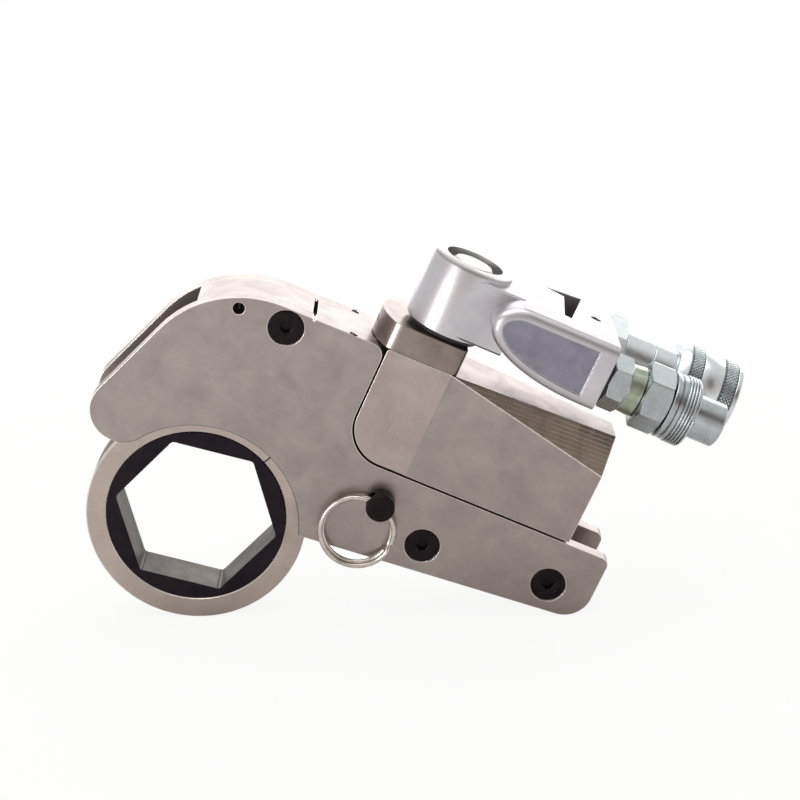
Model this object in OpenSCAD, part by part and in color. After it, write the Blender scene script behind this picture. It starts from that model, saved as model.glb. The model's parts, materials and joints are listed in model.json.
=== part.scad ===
// Low-profile hydraulic torque wrench: a hexagon ratchet link, a power head that plugs
// into it and a hose swivel with two screw couplers. Sizes are in millimetres.
// The origin is the centre of the hexagon socket, Y runs along the socket and Z is up.
// Everything is drawn along the tool's own axes, X along the piston towards the hoses,
// then pitched so that the eye and the heel of the arm stand on one level.

/* [Ratchet] */
// Hexagon socket across flats
hex_af = 70; // [66:1:72]
// Wall from the hexagon's corners to the outside of the ratchet hub
hub_wall = 3.5; // [3.2:0.1:5]
// Turn of the hexagon in the hub
hex_turn = 8.4; // [0:0.2:59]
// Teeth round the ratchet
teeth = 40; // [36:1:44]
// Depth of a tooth
tooth_h = 3.4; // [3:0.1:3.6]
// Width of the toothed band
tooth_w = 12; // [10:0.5:13]

/* [Link] */
// Thickness over the two side plates
link_t = 41; // [39:0.5:44]
// Thickness of one side plate
plate_t = 8.3; // [7.5:0.1:9]
// Wall of the bearing rings round the ratchet
ring_wall = 10.1; // [9.5:0.1:11]
// How far the plates lap over the bearing rings
plate_lap = 3.3; // [2:0.1:4]
// Height of the link's top edge over the ratchet centre
link_top = 119.4; // [117:0.2:122]
// End of the reaction arm
link_end = 194.4; // [190:0.2:200]
// Radius of the nose
nose_r = 16; // [13:0.5:17]
// Direction of the nose from the ratchet centre
nose_dir = 142.7; // [140:0.1:146]
// Slope of the front edge
front_dir = 68.4; // [66:0.1:71]
// Radius over the hump
hump_r = 54; // [44:1:60]
// Radius of the heel that stands on the ground
heel_r = 14; // [12:0.5:17]
// Slope of the arm's lower edge
arm_slope = 5.3; // [3:0.1:6]
// Height of the arm's lower edge under the pocket wall
arm_low = 14.3; // [13:0.1:17]
// Pocket wall that the power head meets
pocket_x = 50; // [48:0.2:52]
// Pocket floor
pocket_z = 62.8; // [61:0.2:65]
// Pocket corner radius
pocket_r = 20; // [14:0.5:22]
// Seam round the power head
seam = 0.9; // [0.5:0.1:1.2]

/* [Plate screws] */
// Countersunk head radius
screw_head_r = 8.6; // [7.5:0.1:9]
// Screw shank radius
screw_r = 4; // [3:0.1:4.5]
// Key size of the socket
screw_key = 5; // [4:0.5:6]
// Depth of the top edge's screw below the edge
screw_drop = 9.5; // [9:0.1:10.5]

/* [Lever and pawl] */
// Height of the piston's axis over the ratchet centre
piston_z = 90; // [88.5:0.5:92]
// Half of the lever's stroke
half_stroke = 12; // [8:0.5:13]
// Width of the pawl
pawl_w = 15; // [13:0.5:16]
// Radius of the rod pin
rod_pin_r = 5; // [4:0.1:5.5]

/* [Power head] */
// End of the cylinder block
block_end = 171.6; // [168:0.1:174]
// Bore radius
bore_r = 15.5; // [14:0.1:16]
// Rod radius
rod_r = 9; // [8:0.1:10]
// Where the chamfer starts on the top edge
chamfer_x = 83; // [80:0.5:95]
// Drop of the chamfer down the side at the block's end
chamfer_drop = 18.5; // [12:0.5:22]
// Depth of the chamfer across the top at the block's end
chamfer_in = 11; // [8:0.5:13]

/* [Swivel] */
// Place of the swivel post along the block
post_x = 73.9; // [72:0.1:76]
// Radius of the post
post_r = 11; // [10:0.1:12]
// Radius of the swivel barrel
barrel_r = 20.25; // [19:0.25:21]
// Height of the swivel barrel
barrel_h = 35.4; // [33:0.2:37]
// Height of the swivel base
base_h = 13.4; // [11:0.2:15]
// End of the port lobes
lobe_end = 149; // [145:0.5:155]
// Distance between the two coupler axes
port_pitch = 48; // [46:0.5:52]
// Half width over the port lobes
lobe_y = 37; // [36:0.5:40]

/* [Couplers] */
// Radius of the male coupler's nose
nose_tip_r = 10.8; // [10:0.1:11.5]
// Length of the male coupler's nose
nose_len = 15.6; // [13:0.2:18]
// Radius over the male thread
thread_r = 17; // [16:0.1:18]
// Radius of the knurled collar
collar_r = 20.5; // [19.9:0.1:21]
// Length of the knurled collar
collar_len = 33; // [31:0.5:35]

/* [Quick-release pin] */
// Pin radius
pin_r = 5; // [4:0.1:6]
// Head radius
pin_head_r = 7; // [6.6:0.1:8]
// Head length
pin_head_len = 9; // [8:0.5:11]
// Outer radius of the split ring
key_ring_r = 18.6; // [17:0.2:21]
// Wire radius of the split ring
key_wire_r = 1.2; // [1:0.1:1.3]

/* [Hidden] */
$fn = 64;

// Clearances
run_gap = 0.05;      // running fit on a shaft, radial
seat_gap = 0.05;     // flat faces that seat on each other
move_gap = 0.35;     // parts that pass each other
over = 1;            // how far a cut runs past a face
blend = 0.01;        // how far a round crosses its edges, which it would else only touch

// Ratchet radii
hex_r = hex_af / sqrt(3);
hub_r = hex_r + hub_wall;
root_r = hub_r + 1.6;
tip_r = root_r + tooth_h;
ring_in = hub_r + run_gap;
ring_out = ring_in + ring_wall;
cut_r = ring_out - plate_lap;
relief_r = 3.2;
relief_in = 0.4;
tooth_step = 360 / teeth;

// Layers through the thickness
face_y = link_t / 2;
gap_y = face_y - plate_t;
seat_y = gap_y - seat_gap;
ring_y = gap_y - 0.3;
tooth_y = tooth_w / 2;
guard_y = tooth_y + 0.4;
lever_y = gap_y - 0.4;

// Link outline
function dir(a) = [cos(a), sin(a)];
function arm_z(x) = arm_low + (x - pocket_x) * tan(arm_slope);
nose_c = (cut_r + nose_r - 0.3) * dir(nose_dir);
nose_exit = nose_dir - 95;
nose_run = 5;
nose_tip = nose_c - dir((front_dir + nose_exit) / 2) * nose_r / sin((front_dir - nose_exit) / 2);
nose_in = nose_c + nose_r * dir(nose_exit - 90) + nose_run * dir(nose_exit);
hump = nose_tip + dir(front_dir) * (link_top - nose_tip[1]) / sin(front_dir);
heel_x = link_end - heel_r;
heel_c = [heel_x, arm_z(heel_x) + heel_r / cos(arm_slope)];

// The pitch at which the eye and the heel touch the same level
pitch = acos((heel_r - ring_out) / norm(heel_c)) - atan2(heel_c[0], heel_c[1]);

// Screws, pins and dowels in the link
screw_z = link_top - screw_drop;
tail_screw = heel_c - [8.7, 1.3];
plate_screws = [[2.6, screw_z], [pocket_x + 56.5, 33.4], tail_screw];
sink_h = screw_head_r - screw_r;
spring_pin_at = [-21.4, screw_z];
spring_pin_r = 2.85;
release_at = [pocket_x + 28.6, pocket_z - 16.2];
groove_x = 13.2;
notch_x = 33.4;
notch_r = 2.1;
dowel_r = 3;
dowel_at = [nose_c, [ring_out + 2.6, 24]];
dowel_depth = 5;
ring_dowel_r = 1;
ring_dowel_dirs = [200, 250, 290, 340];
guard_r = tip_r + 0.5;
ring_dowel_at = (guard_r + ring_out) / 2;
split_dir = 63.5;
split_w = 0.8;

// Lever, pawl and rod
arm_r = ring_out + 0.7;
lever_top_r = piston_z + 12;
pawl_top = root_r + 13;
pawl_lift = tooth_h + 0.5;
pocket_top = pawl_top + pawl_lift + move_gap;
spring_bore_r = 3.8;
spring_bore_top = pocket_top + 9;
fork_y = 6;
fork_bottom = spring_bore_top + 4;
slot_r = rod_pin_r + 0.5;
rod_pin_x = piston_z * half_stroke * PI / 180;
stroke = 2 * rod_pin_x;
rod_neck = 17;

// Front spacer and rear spacer
spacer_low = lever_top_r + 1.2;
spacer_front_x = -42.2;
tail_drop = 11;
tail_in = 6;

// Block
block_x = pocket_x + seam;
block_z = pocket_z + seam;
block_top = link_top + 0.3;
land_x = block_x + 33.4;
land_step = 0.4;
tongue_x = [pocket_x + 12, pocket_x + 45];
tongue_z = release_at[1] - 12;
tongue_y = gap_y - 0.15;
gland_r = bore_r + 1;
gland_len = 15;
cap_len = 12;
bore_x = block_x + gland_len;
cap_x = block_end - cap_len;
piston_x = bore_x + stroke + 20;
piston_len = 24;
seal_w = 4;
seal_depth = 2.5;

// Swivel
base_z = block_top + seat_gap;
base_top = base_z + base_h;
base_round = 31.4;
base_end = post_x + 12.7;
base_corner = 4;
base_hole_r = 2;
base_hole_deep = 6;
washer_h = 2.2;
barrel_z = base_top + washer_h;
barrel_top = barrel_z + barrel_h;
post_foot_r = post_r - 3;
post_foot_z = piston_z + bore_r + 4;
post_top = barrel_top - 1;
post_edge = 1.5;
recess_r = post_r + 3.4;
recess_z = barrel_top - 8;
neck_r = post_r - 1.5;
clip_h = 2;
seal_zs = [barrel_z + 4, barrel_z + 11, barrel_z + 18];
arm_z0 = barrel_z + 1.9;
arm_z1 = barrel_top - 3.2;
neck_y = barrel_r - 0.15;
neck_edge = 1;
neck_len = 27;
window = [[39.5, 20], [49.6, 16.7], [47.3, -16.7], [50.7, -17.6], [59.4, 25.3]];
inner_y = 10;
lobe_tip = [post_x + 14.5, barrel_z + 20.3];
lobe_top = arm_z1;
lobe_low = barrel_z - 1;
lobe_round_x = 16;
lobe_sweep_x = lobe_end - lobe_tip[0] - 5.6;
rim_w = 5;
rim_round = 4.5;
panel_deep = 0.9;
panel_end = lobe_end - 8.6;
port_z = barrel_z + 13.1;
port_y = port_pitch / 2;
port_r = 8;
port_deep = 14;
plug_at = [lobe_end - 10, 0];
plug_r = 2.6;
plug_deep = 6;

// Couplers, along X from the lobes' end
bond_w = 1.4;
bond_r = 12;
nut_x = lobe_end + bond_w + 2 * seat_gap;
nut_af = 24;
far_nut_af = 33;
nut_turn = 48;
nut_w = 10;
stem_x = nut_x + nut_w;
stem_r = 12.4;
stem_edge = 0.8;
stem_len = 7.4;
hex_x = stem_x + stem_len;
hex_w = 13.6;
body_af = 29;
body_turn = 10;
shoulder_x = hex_x + hex_w;
shoulder_w = 5.4;
male_x = shoulder_x + shoulder_w;
male_w = 7.8;
nose_x = male_x + male_w;
nose_end = nose_x + nose_len;
far_x = stem_x + seat_gap;
screw_stem_r = 8;
screw_stem_deep = 9;
poppet_r = 6.5;
poppet_hole_r = 4;
poppet_travel = 3;
poppet_head = 6;
mouth_wall = 4;
spring_gap = 0.3;
spring_wire_r = 0.7;
sleeve_r = 13.6;
female_r = 14.5;
collar_x = stem_x + 28.5;
sleeve_end = collar_x + collar_len - 7;
collar_lip = 6;
collar_wall = 3.1;
collar_cave_r = collar_r - collar_wall;
socket_r = nose_tip_r + 0.15;
socket_deep = 13;
chamber_x = far_x + screw_stem_deep + 10.3;
near_mouth = nose_end - mouth_wall;
far_mouth = sleeve_end - socket_deep - mouth_wall;
snap_w = 1.2;

// Quick-release pin
pin_gap = 0.15;
head_y = -face_y - 0.4;
pin_end_y = face_y - 1;
ball_r = 1.6;
key_mid_r = key_ring_r - key_wire_r;
key_y = head_y - pin_head_len / 2;
key_dir = 252.8;
key_c = release_at + key_mid_r * dir(key_dir);
key_hole_r = key_wire_r * 2 + 0.95;

// Colours as the object shows them
nickel = "#9E928C";
nickel_dark = "#8A7E78";
black = "#231F22";
steel = "#B4B0AC";
alloy = "#B9B6B8";
zinc = "#C8CDD0";
rubber = "#1C1C1E";

// Placing helpers

module tool() {
    rotate([0, pitch, 0]) children();
}

// Extrudes an outline drawn in X and Z from y0 to y1
module across(y0, y1) {
    translate([0, y1, 0])
        rotate([90, 0, 0])
            linear_extrude(y1 - y0) children();
}

// Cylinder along Y at a point of the X-Z outline
module cross_pin(at, r, y0, y1) {
    translate([at[0], y1, at[1]])
        rotate([90, 0, 0]) cylinder(r = r, h = y1 - y0);
}

// Cylinder along X
module axial(r, x0, x1, y = 0, z = piston_z) {
    translate([x0, y, z])
        rotate([0, 90, 0]) cylinder(r = r, h = x1 - x0);
}

// Turns a profile of (radius, x) points about a line along X
module turned(y, z) {
    translate([0, y, z])
        rotate([0, 90, 0]) rotate_extrude() children();
}

// Hexagon bar along X, a corner turned from the top towards the near side
module hex_bar(af, x0, x1, y, z, turn) {
    translate([x0, y, z])
        rotate([turn, 0, 0]) rotate([0, 90, 0]) cylinder(r = af / sqrt(3), h = x1 - x0, $fn = 6);
}

// Patch between a corner and the round that replaces it: edges leave p along a and b
module corner(p, a, b, r) {
    half = (b - a) / 2;
    mid = a + half;
    c = p + dir(mid) * r / sin(half);
    t = r / tan(half);
    difference() {
        polygon([
            c,
            p + t * dir(a) + over * dir(a - 90),
            p - dir(mid) * over / sin(half),
            p + t * dir(b) + over * dir(b + 90)
        ]);
        translate(c) circle(r + blend);
    }
}

// Pie slice from angle a to angle b, under half a turn
module slice(a, b, r) {
    mid = (a + b) / 2;
    far = r / cos((b - a) / 4);
    polygon([[0, 0], r * dir(a), far * dir((a + mid) / 2), r * dir(mid),
        far * dir((b + mid) / 2), r * dir(b)]);
}

module mirrored_y() {
    mirror([0, 1, 0]) children();
}

// Coil spring standing on the X-Y plane
module coil(r, wire, h, turns) {
    lap = 180 * 2 * wire * turns / h;
    linear_extrude(h, twist = -360 * turns, slices = 12 * turns, $fn = 12)
        polygon(concat(
            [for (k = [-2 : 2]) (r - wire) * dir(k * lap / 2)],
            [for (k = [2 : -1 : -2]) (r + wire) * dir(k * lap / 2)]
        ));
}

// Side plates

module pocket_outline() {
    difference() {
        translate([pocket_x, pocket_z]) square([link_end, link_top]);
        corner([pocket_x, pocket_z], 0, 90, pocket_r);
    }
}

module link_outline() {
    difference() {
        polygon([
            nose_tip, hump, [link_end, link_top], [link_end, arm_z(link_end)],
            [0, arm_z(0)], [0, 0], nose_in
        ]);
        circle(cut_r);
        pocket_outline();
        corner(nose_tip, nose_exit, front_dir, nose_r);
        corner(hump, front_dir - 180, 0, hump_r);
        corner([pocket_x, link_top], 180, 270, 6);
        corner([link_end, pocket_z], 180, 270, 4);
        corner([link_end, arm_z(link_end)], 90, 180 + arm_slope, heel_r);
    }
}

// Countersunk hole from the near face inwards
module screw_sink(at) {
    sink_r = screw_head_r + 0.15;
    cross_pin(at, screw_r + 0.1, -face_y - over, 0);
    cross_pin(at, sink_r, -face_y - over, -face_y + 0.3);
    translate([at[0], -face_y + 0.3, at[1]])
        rotate([-90, 0, 0]) cylinder(r1 = sink_r, r2 = sink_r - sink_h, h = sink_h);
}

module side_plate() {
    difference() {
        across(-face_y, -gap_y) link_outline();
        for (at = plate_screws) screw_sink(at);
        cross_pin(release_at, pin_r + pin_gap, -face_y - over, 0);
        cross_pin(spring_pin_at, spring_pin_r, -face_y - over, 0);
        for (at = dowel_at)
            cross_pin(at, dowel_r + seat_gap, -gap_y - dowel_depth, 0);
        translate([groove_x - 0.4, -face_y - over, link_top - 1])
            cube([0.8, link_t, 2]);
        translate([notch_x, -face_y + notch_r + 0.3, link_top - 2]) cylinder(r = notch_r, h = 3);
    }
}

module near_side_plate() {
    color(nickel) tool() side_plate();
}

module far_side_plate() {
    color(nickel) tool() mirrored_y() side_plate();
}

// Eye of the link: a guard round the teeth, tied to the plates by a web and a nose boss

module guard_outline() {
    difference() {
        circle(ring_out);
        circle(guard_r);
        slice(18, nose_dir - 6, 2 * ring_out);
    }
}

module web_outline() {
    difference() {
        polygon([
            [ring_out - 6, arm_z(ring_out - 6) + 0.5], [tongue_x[0] - 1, arm_z(tongue_x[0]) + 0.5],
            [tongue_x[0] - 1, 34], [ring_out - 10, 34]
        ]);
        circle(guard_r + 1);
    }
}

module boss_outline() {
    foot = guard_r + 1.5;
    side = 7 * dir(nose_dir + 90);
    difference() {
        union() {
            translate(nose_c) circle(8.5);
            polygon([
                foot * dir(nose_dir - 6), nose_c - side, nose_c + side, foot * dir(nose_dir + 6)
            ]);
        }
        circle(guard_r + 1);
    }
}

module eye_body() {
    color(nickel_dark) tool() difference() {
        union() {
            across(-guard_y, guard_y) {
                guard_outline();
                web_outline();
                boss_outline();
            }
            across(-seat_y, seat_y) difference() {
                union() {
                    web_outline();
                    boss_outline();
                }
                circle(ring_out + seat_gap);
            }
        }
        for (at = dowel_at, side = [-1, 1])
            cross_pin(at, dowel_r + seat_gap, side * seat_y - dowel_depth, side * seat_y + dowel_depth);
        for (a = ring_dowel_dirs)
            cross_pin(ring_dowel_at * dir(a), ring_dowel_r + 0.02, -guard_y - over, guard_y + over);
    }
}

// Split bearing ring beside the teeth
module bearing_ring() {
    difference() {
        across(-ring_y, -guard_y - seat_gap) difference() {
            circle(ring_out);
            circle(ring_in, $fn = 96);
            rotate(split_dir) translate([0, -split_w / 2]) square([2 * ring_out, split_w]);
        }
        for (a = ring_dowel_dirs)
            cross_pin(ring_dowel_at * dir(a), ring_dowel_r + 0.02, -guard_y - 3, 0);
    }
}

module near_bearing_ring() {
    color(nickel) tool() bearing_ring();
}

module far_bearing_ring() {
    color(nickel) tool() mirrored_y() bearing_ring();
}

module ring_dowels() {
    color(steel) tool()
        for (a = ring_dowel_dirs)
            cross_pin(ring_dowel_at * dir(a), ring_dowel_r, -guard_y - 2.8, guard_y + 2.8);
}

module link_dowels() {
    color(steel) tool()
        for (at = dowel_at, side = [-1, 1])
            cross_pin(at, dowel_r, side * gap_y - dowel_depth + 0.3, side * gap_y + dowel_depth - 0.3);
}

// Spacers between the plates

module spacer_holes() {
    for (at = plate_screws) cross_pin(at, screw_r + seat_gap, -face_y, face_y);
    cross_pin(spring_pin_at, spring_pin_r, -face_y, face_y);
}

module front_spacer() {
    color(nickel) tool() difference() {
        across(-seat_y, seat_y) intersection() {
            link_outline();
            polygon([
                [spacer_front_x - 8, link_top - 16.2], [spacer_front_x + 6, spacer_low],
                [groove_x - 0.2, spacer_low], [groove_x - 0.2, link_top + over],
                [spacer_front_x, link_top + over]
            ]);
        }
        spacer_holes();
    }
}

module rear_spacer() {
    color(nickel) tool() difference() {
        across(-seat_y, seat_y) intersection() {
            link_outline();
            translate([groove_x + 0.2, spacer_low])
                square([pocket_x - groove_x - 0.4, link_top]);
        }
        axial(gland_r + 3, groove_x, pocket_x + over);
    }
}

module tail_spacer() {
    color(nickel_dark) tool() difference() {
        across(-seat_y, seat_y) intersection() {
            link_outline();
            translate([tongue_x[1] + 1, 0])
                square([link_end - tail_in - tongue_x[1] - 1, pocket_z - tail_drop]);
        }
        spacer_holes();
    }
}

// Countersunk socket screws of one side
module plate_screw_set() {
    for (at = plate_screws) difference() {
        union() {
            translate([at[0], -face_y + 0.3, at[1]])
                rotate([-90, 0, 0]) cylinder(r1 = screw_head_r, r2 = screw_r, h = sink_h);
            cross_pin(at, screw_r, -face_y + sink_h, -1);
        }
        translate([at[0], -face_y + 3.3, at[1]])
            rotate([90, 0, 0]) cylinder(r = screw_key / sqrt(3), h = 4, $fn = 6);
    }
}

module near_plate_screws() {
    color(black) tool() plate_screw_set();
}

module far_plate_screws() {
    color(black) tool() mirrored_y() plate_screw_set();
}

module spacer_pins() {
    color(steel) tool() difference() {
        cross_pin(spring_pin_at, spring_pin_r - 0.02, -gap_y - 3, gap_y + 3);
        cross_pin(spring_pin_at, spring_pin_r - 1.2, -face_y, face_y);
    }
}

// Ratchet, lever and pawl

// The lever leans to the pocket at rest
module at_lever() {
    rotate([0, half_stroke, 0]) children();
}

// Saw teeth: a steep driven face, a short land and a sloping back
module tooth_ring(grow = 0, turn = 0) {
    polygon([
        for (i = [0 : teeth - 1], k = [0 : 2])
            let (a = 90 + (i + 0.5) * tooth_step + turn)
            k == 0 ? (root_r + grow) * dir(a)
                : (tip_r + grow) * dir(a + (k == 1 ? 0.02 : 0.22) * tooth_step)
    ]);
}

module hex_socket() {
    rotate(hex_turn) {
        circle(hex_r, $fn = 6);
        for (a = [0 : 60 : 300])
            translate((hex_r - relief_r - relief_in) * dir(a)) circle(relief_r);
    }
}

module hex_ratchet() {
    hub_y = ring_y - 0.1;
    color(black) tool() difference() {
        union() {
            cross_pin([0, 0], hub_r, -hub_y, hub_y, $fn = 96);
            at_lever() across(-tooth_y, tooth_y) tooth_ring();
        }
        across(-face_y, face_y) hex_socket();
    }
}

module lever_arm_outline() {
    intersection() {
        difference() {
            polygon([
                [-20, root_r], [20, root_r], [13, arm_r + 20], [13, 2 * piston_z],
                [-13, 2 * piston_z], [-13, arm_r + 20]
            ]);
            circle(arm_r);
        }
        circle(lever_top_r);
    }
}

module lever_shoe_outline() {
    intersection() {
        difference() {
            circle(arm_r + 2);
            circle(tip_r + move_gap);
        }
        slice(68, 112, 2 * arm_r);
    }
}

module drive_lever() {
    color(steel) tool() at_lever() difference() {
        union() {
            across(-lever_y, lever_y) lever_arm_outline();
            across(-tooth_y, tooth_y) lever_shoe_outline();
        }
        across(-face_y, face_y) {
            translate([-pawl_w / 2 - move_gap, 0]) square([pawl_w + 2 * move_gap, pocket_top]);
            translate([-slot_r, piston_z]) square([2 * slot_r, 2.5]);
            translate([0, piston_z]) circle(slot_r);
            translate([0, piston_z + 2.5]) circle(slot_r);
        }
        translate([0, 0, pocket_top - over])
            cylinder(r = spring_bore_r, h = spring_bore_top - pocket_top + over);
        translate([-face_y, -fork_y, fork_bottom]) cube([link_t, 2 * fork_y, piston_z]);
    }
}

module drive_pawl() {
    color(steel) tool() at_lever() across(-tooth_y + 0.1, tooth_y - 0.1) difference() {
        translate([-pawl_w / 2, hub_r]) square([pawl_w, pawl_top - hub_r]);
        circle(root_r + 0.3);
        tooth_ring(0.3, 0.5);
        tooth_ring(0.3, -0.5);
    }
}

module pawl_spring() {
    foot = pawl_top + pawl_lift + 0.5;
    color(steel) tool() at_lever() translate([0, 0, foot])
        coil(spring_bore_r - 1.1, spring_wire_r, spring_bore_top - foot - 0.1, 4);
}

// Power head

module block_outline() {
    difference() {
        translate([block_x, block_z]) square([block_end - block_x, block_top - block_z]);
        corner([block_x, block_z], 0, 90, pocket_r - seam);
        corner([block_x, block_top], 270, 360, 2);
    }
}

module tongue_outline() {
    difference() {
        translate([tongue_x[0], tongue_z])
            square([tongue_x[1] - tongue_x[0], block_z + 5 - tongue_z]);
        corner([tongue_x[0], tongue_z], 0, 90, 8);
        corner([tongue_x[1], tongue_z], 90, 180, 8);
    }
}

// Half space beyond the chamfer on the near upper edge
module chamfer_side() {
    along = block_end - chamfer_x;
    normal = [chamfer_drop * chamfer_in, -chamfer_drop * along, along * chamfer_in];
    translate([chamfer_x, -face_y, block_top])
        rotate([0, acos(normal[2] / norm(normal)), atan2(normal[1], normal[0])])
            translate([-150, -150, 0]) cube([300, 300, 60]);
}

module cylinder_block() {
    color(nickel) tool() difference() {
        union() {
            across(-face_y, face_y) block_outline();
            across(-tongue_y, tongue_y) tongue_outline();
        }
        axial(bore_r, block_x, block_end);
        axial(gland_r, block_x - over, bore_x);
        axial(gland_r, cap_x, block_end + over);
        cross_pin(release_at, pin_r + pin_gap, -face_y, face_y);
        translate([post_x, 0, post_foot_z])
            cylinder(r = post_foot_r + seat_gap, h = block_top);
        for (side = [-1, 1])
            translate([block_x - over, side * (face_y - land_step / 2) - land_step / 2, block_z - over])
                cube([land_x - block_x + over, land_step, block_top]);
        chamfer_side();
        mirrored_y() chamfer_side();
    }
}

module rod_gland() {
    color(steel) tool() difference() {
        axial(gland_r - seat_gap, block_x + 0.5, bore_x);
        axial(rod_r + run_gap, block_x - over, bore_x + over);
        axial(rod_r + seal_depth, block_x + 5, block_x + 5 + seal_w);
    }
}

module rod_seal() {
    color(rubber) tool() difference() {
        axial(rod_r + seal_depth - 0.02, block_x + 5.02, block_x + 5 + seal_w - 0.02);
        axial(rod_r + run_gap, block_x, bore_x);
    }
}

module end_cap() {
    color(nickel_dark) tool() difference() {
        axial(gland_r - seat_gap, cap_x + seat_gap, block_end - 0.5);
        for (side = [-1, 1])
            axial(2.5, block_end - 6, block_end + over, y = side * (gland_r - 6));
        difference() {
            axial(gland_r + over, cap_x + 3, cap_x + 3 + seal_w);
            axial(gland_r - seal_depth, cap_x, block_end);
        }
    }
}

module end_cap_seal() {
    color(rubber) tool() difference() {
        axial(gland_r - 0.02, cap_x + 3.02, cap_x + 3 + seal_w - 0.02);
        axial(gland_r - seal_depth + 0.02, cap_x, block_end);
    }
}

module piston_rod() {
    color(steel) tool() difference() {
        union() {
            axial(bore_r - run_gap, piston_x, piston_x + piston_len);
            axial(rod_r, rod_pin_x + rod_neck, piston_x + over);
            intersection() {
                axial(rod_r, rod_pin_x - rod_pin_r - 4, rod_pin_x + rod_neck + over);
                translate([-face_y, -fork_y + move_gap, 0])
                    cube([3 * link_t, 2 * (fork_y - move_gap), 2 * piston_z]);
            }
        }
        cross_pin([rod_pin_x, piston_z], rod_pin_r + 0.01, -face_y, face_y);
        difference() {
            axial(bore_r + over, piston_x + 10, piston_x + 10 + seal_w);
            axial(bore_r - seal_depth, piston_x, piston_x + piston_len);
        }
    }
}

module piston_seal() {
    color(rubber) tool() difference() {
        axial(bore_r - run_gap, piston_x + 10.02, piston_x + 10 + seal_w - 0.02);
        axial(bore_r - seal_depth + 0.02, piston_x, piston_x + piston_len);
    }
}

module rod_pin() {
    color(steel) tool() cross_pin([rod_pin_x, piston_z], rod_pin_r, -lever_y + 0.3, lever_y - 0.3);
}

// Hose swivel

// Stands children on the post's axis
module at_post(z = 0) {
    translate([post_x, 0, z]) children();
}

// Plan of the swivel base: round towards the link, square behind with rounded corners
module base_plan() {
    behind = base_end - post_x;
    difference() {
        intersection() {
            circle(base_round);
            translate([-2 * base_round, -face_y]) square([2 * base_round + behind, link_t]);
        }
        corner([behind, -face_y], 90, 180, base_corner);
        corner([behind, face_y], 180, 270, base_corner);
    }
}

module swivel_base() {
    color(nickel) tool() difference() {
        at_post(base_z) linear_extrude(base_h) base_plan();
        at_post(base_z - over) cylinder(r = post_r + seat_gap, h = base_h + 2 * over);
        axial(base_hole_r, post_x - base_round - over, post_x - base_round + base_hole_deep,
            z = base_z + base_h / 2);
    }
}

module swivel_post() {
    color(steel) tool() at_post() difference() {
        rotate_extrude() polygon([
            [0, post_foot_z + 0.5], [post_foot_r, post_foot_z + 0.5], [post_foot_r, base_z],
            [post_r, base_z], [post_r, recess_z + 0.5], [neck_r, recess_z + 0.5],
            [neck_r, recess_z + 0.5 + clip_h], [post_r - 0.5, recess_z + 0.5 + clip_h],
            [post_r - 0.5, post_top - post_edge], [post_r - 0.5 - post_edge, post_top], [0, post_top]
        ]);
        for (z = seal_zs) rotate_extrude()
            translate([post_r - seal_depth, z]) square([seal_depth + over, seal_w]);
    }
}

module post_seals() {
    color(rubber) tool() at_post()
        for (z = seal_zs) rotate_extrude()
            translate([post_r - seal_depth + 0.02, z + 0.02]) square([seal_depth - 0.02, seal_w - 0.04]);
}

module thrust_washer() {
    color(black) tool() at_post(base_top + seat_gap) difference() {
        cylinder(r = barrel_r - 3, h = washer_h - 0.35);
        translate([0, 0, -over]) cylinder(r = post_r + seat_gap, h = washer_h + 2 * over);
    }
}

module post_retaining_ring() {
    color(steel) tool() at_post(recess_z + 0.5 + 0.05) difference() {
        cylinder(r = recess_r - 0.6, h = clip_h - 0.1);
        translate([0, 0, -over]) cylinder(r = neck_r + 0.02, h = clip_h + 2 * over);
        translate([0, -2.2, -over]) cube([recess_r, 4.4, clip_h + 2 * over]);
    }
}

// Side outline of a port lobe, drawn d inside its edge: a straight top, a quick round
// at the tip and a long sweep below
module lobe_outline(d) {
    rise = lobe_top - lobe_tip[1] - d;
    fall = lobe_tip[1] - lobe_low - d;
    polygon(concat(
        [for (a = [0 : 7.5 : 90])
            lobe_tip + [lobe_sweep_x - (lobe_sweep_x - d) * cos(a), -fall * sin(a)]],
        [[lobe_end, lobe_low + d], [lobe_end, lobe_top - d]],
        [for (a = [90 : -10 : 10])
            lobe_tip + [lobe_round_x - (lobe_round_x - d) * cos(a), rise * sin(a)]]
    ));
}

// Port lobe on the near side, its rim rounded over
module lobe() {
    hull()
        for (t = [0 : 22.5 : 90])
            across(-lobe_y + rim_round * (1 - sin(t)), -inner_y)
                lobe_outline(rim_round * (1 - cos(t)));
}

module lobe_panel() {
    across(-lobe_y - over, -lobe_y + panel_deep) intersection() {
        lobe_outline(rim_w);
        square([panel_end, 2 * barrel_top]);
    }
}

// Neck from the barrel to the lobes, as wide as the barrel, its long edges broken
module neck() {
    flat = neck_y - neck_edge;
    intersection() {
        at_post() rotate([90, 0, 90]) linear_extrude(lobe_end - post_x) polygon([
            [-neck_y, arm_z0 + neck_edge], [-flat, arm_z0], [flat, arm_z0],
            [neck_y, arm_z0 + neck_edge], [neck_y, arm_z1 - neck_edge], [flat, arm_z1],
            [-flat, arm_z1], [-neck_y, arm_z1 - neck_edge]
        ]);
        across(-lobe_y, lobe_y) {
            lobe_outline(0);
            translate([post_x - over, arm_z0 - over]) square([neck_len + over, barrel_h]);
        }
    }
}

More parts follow.
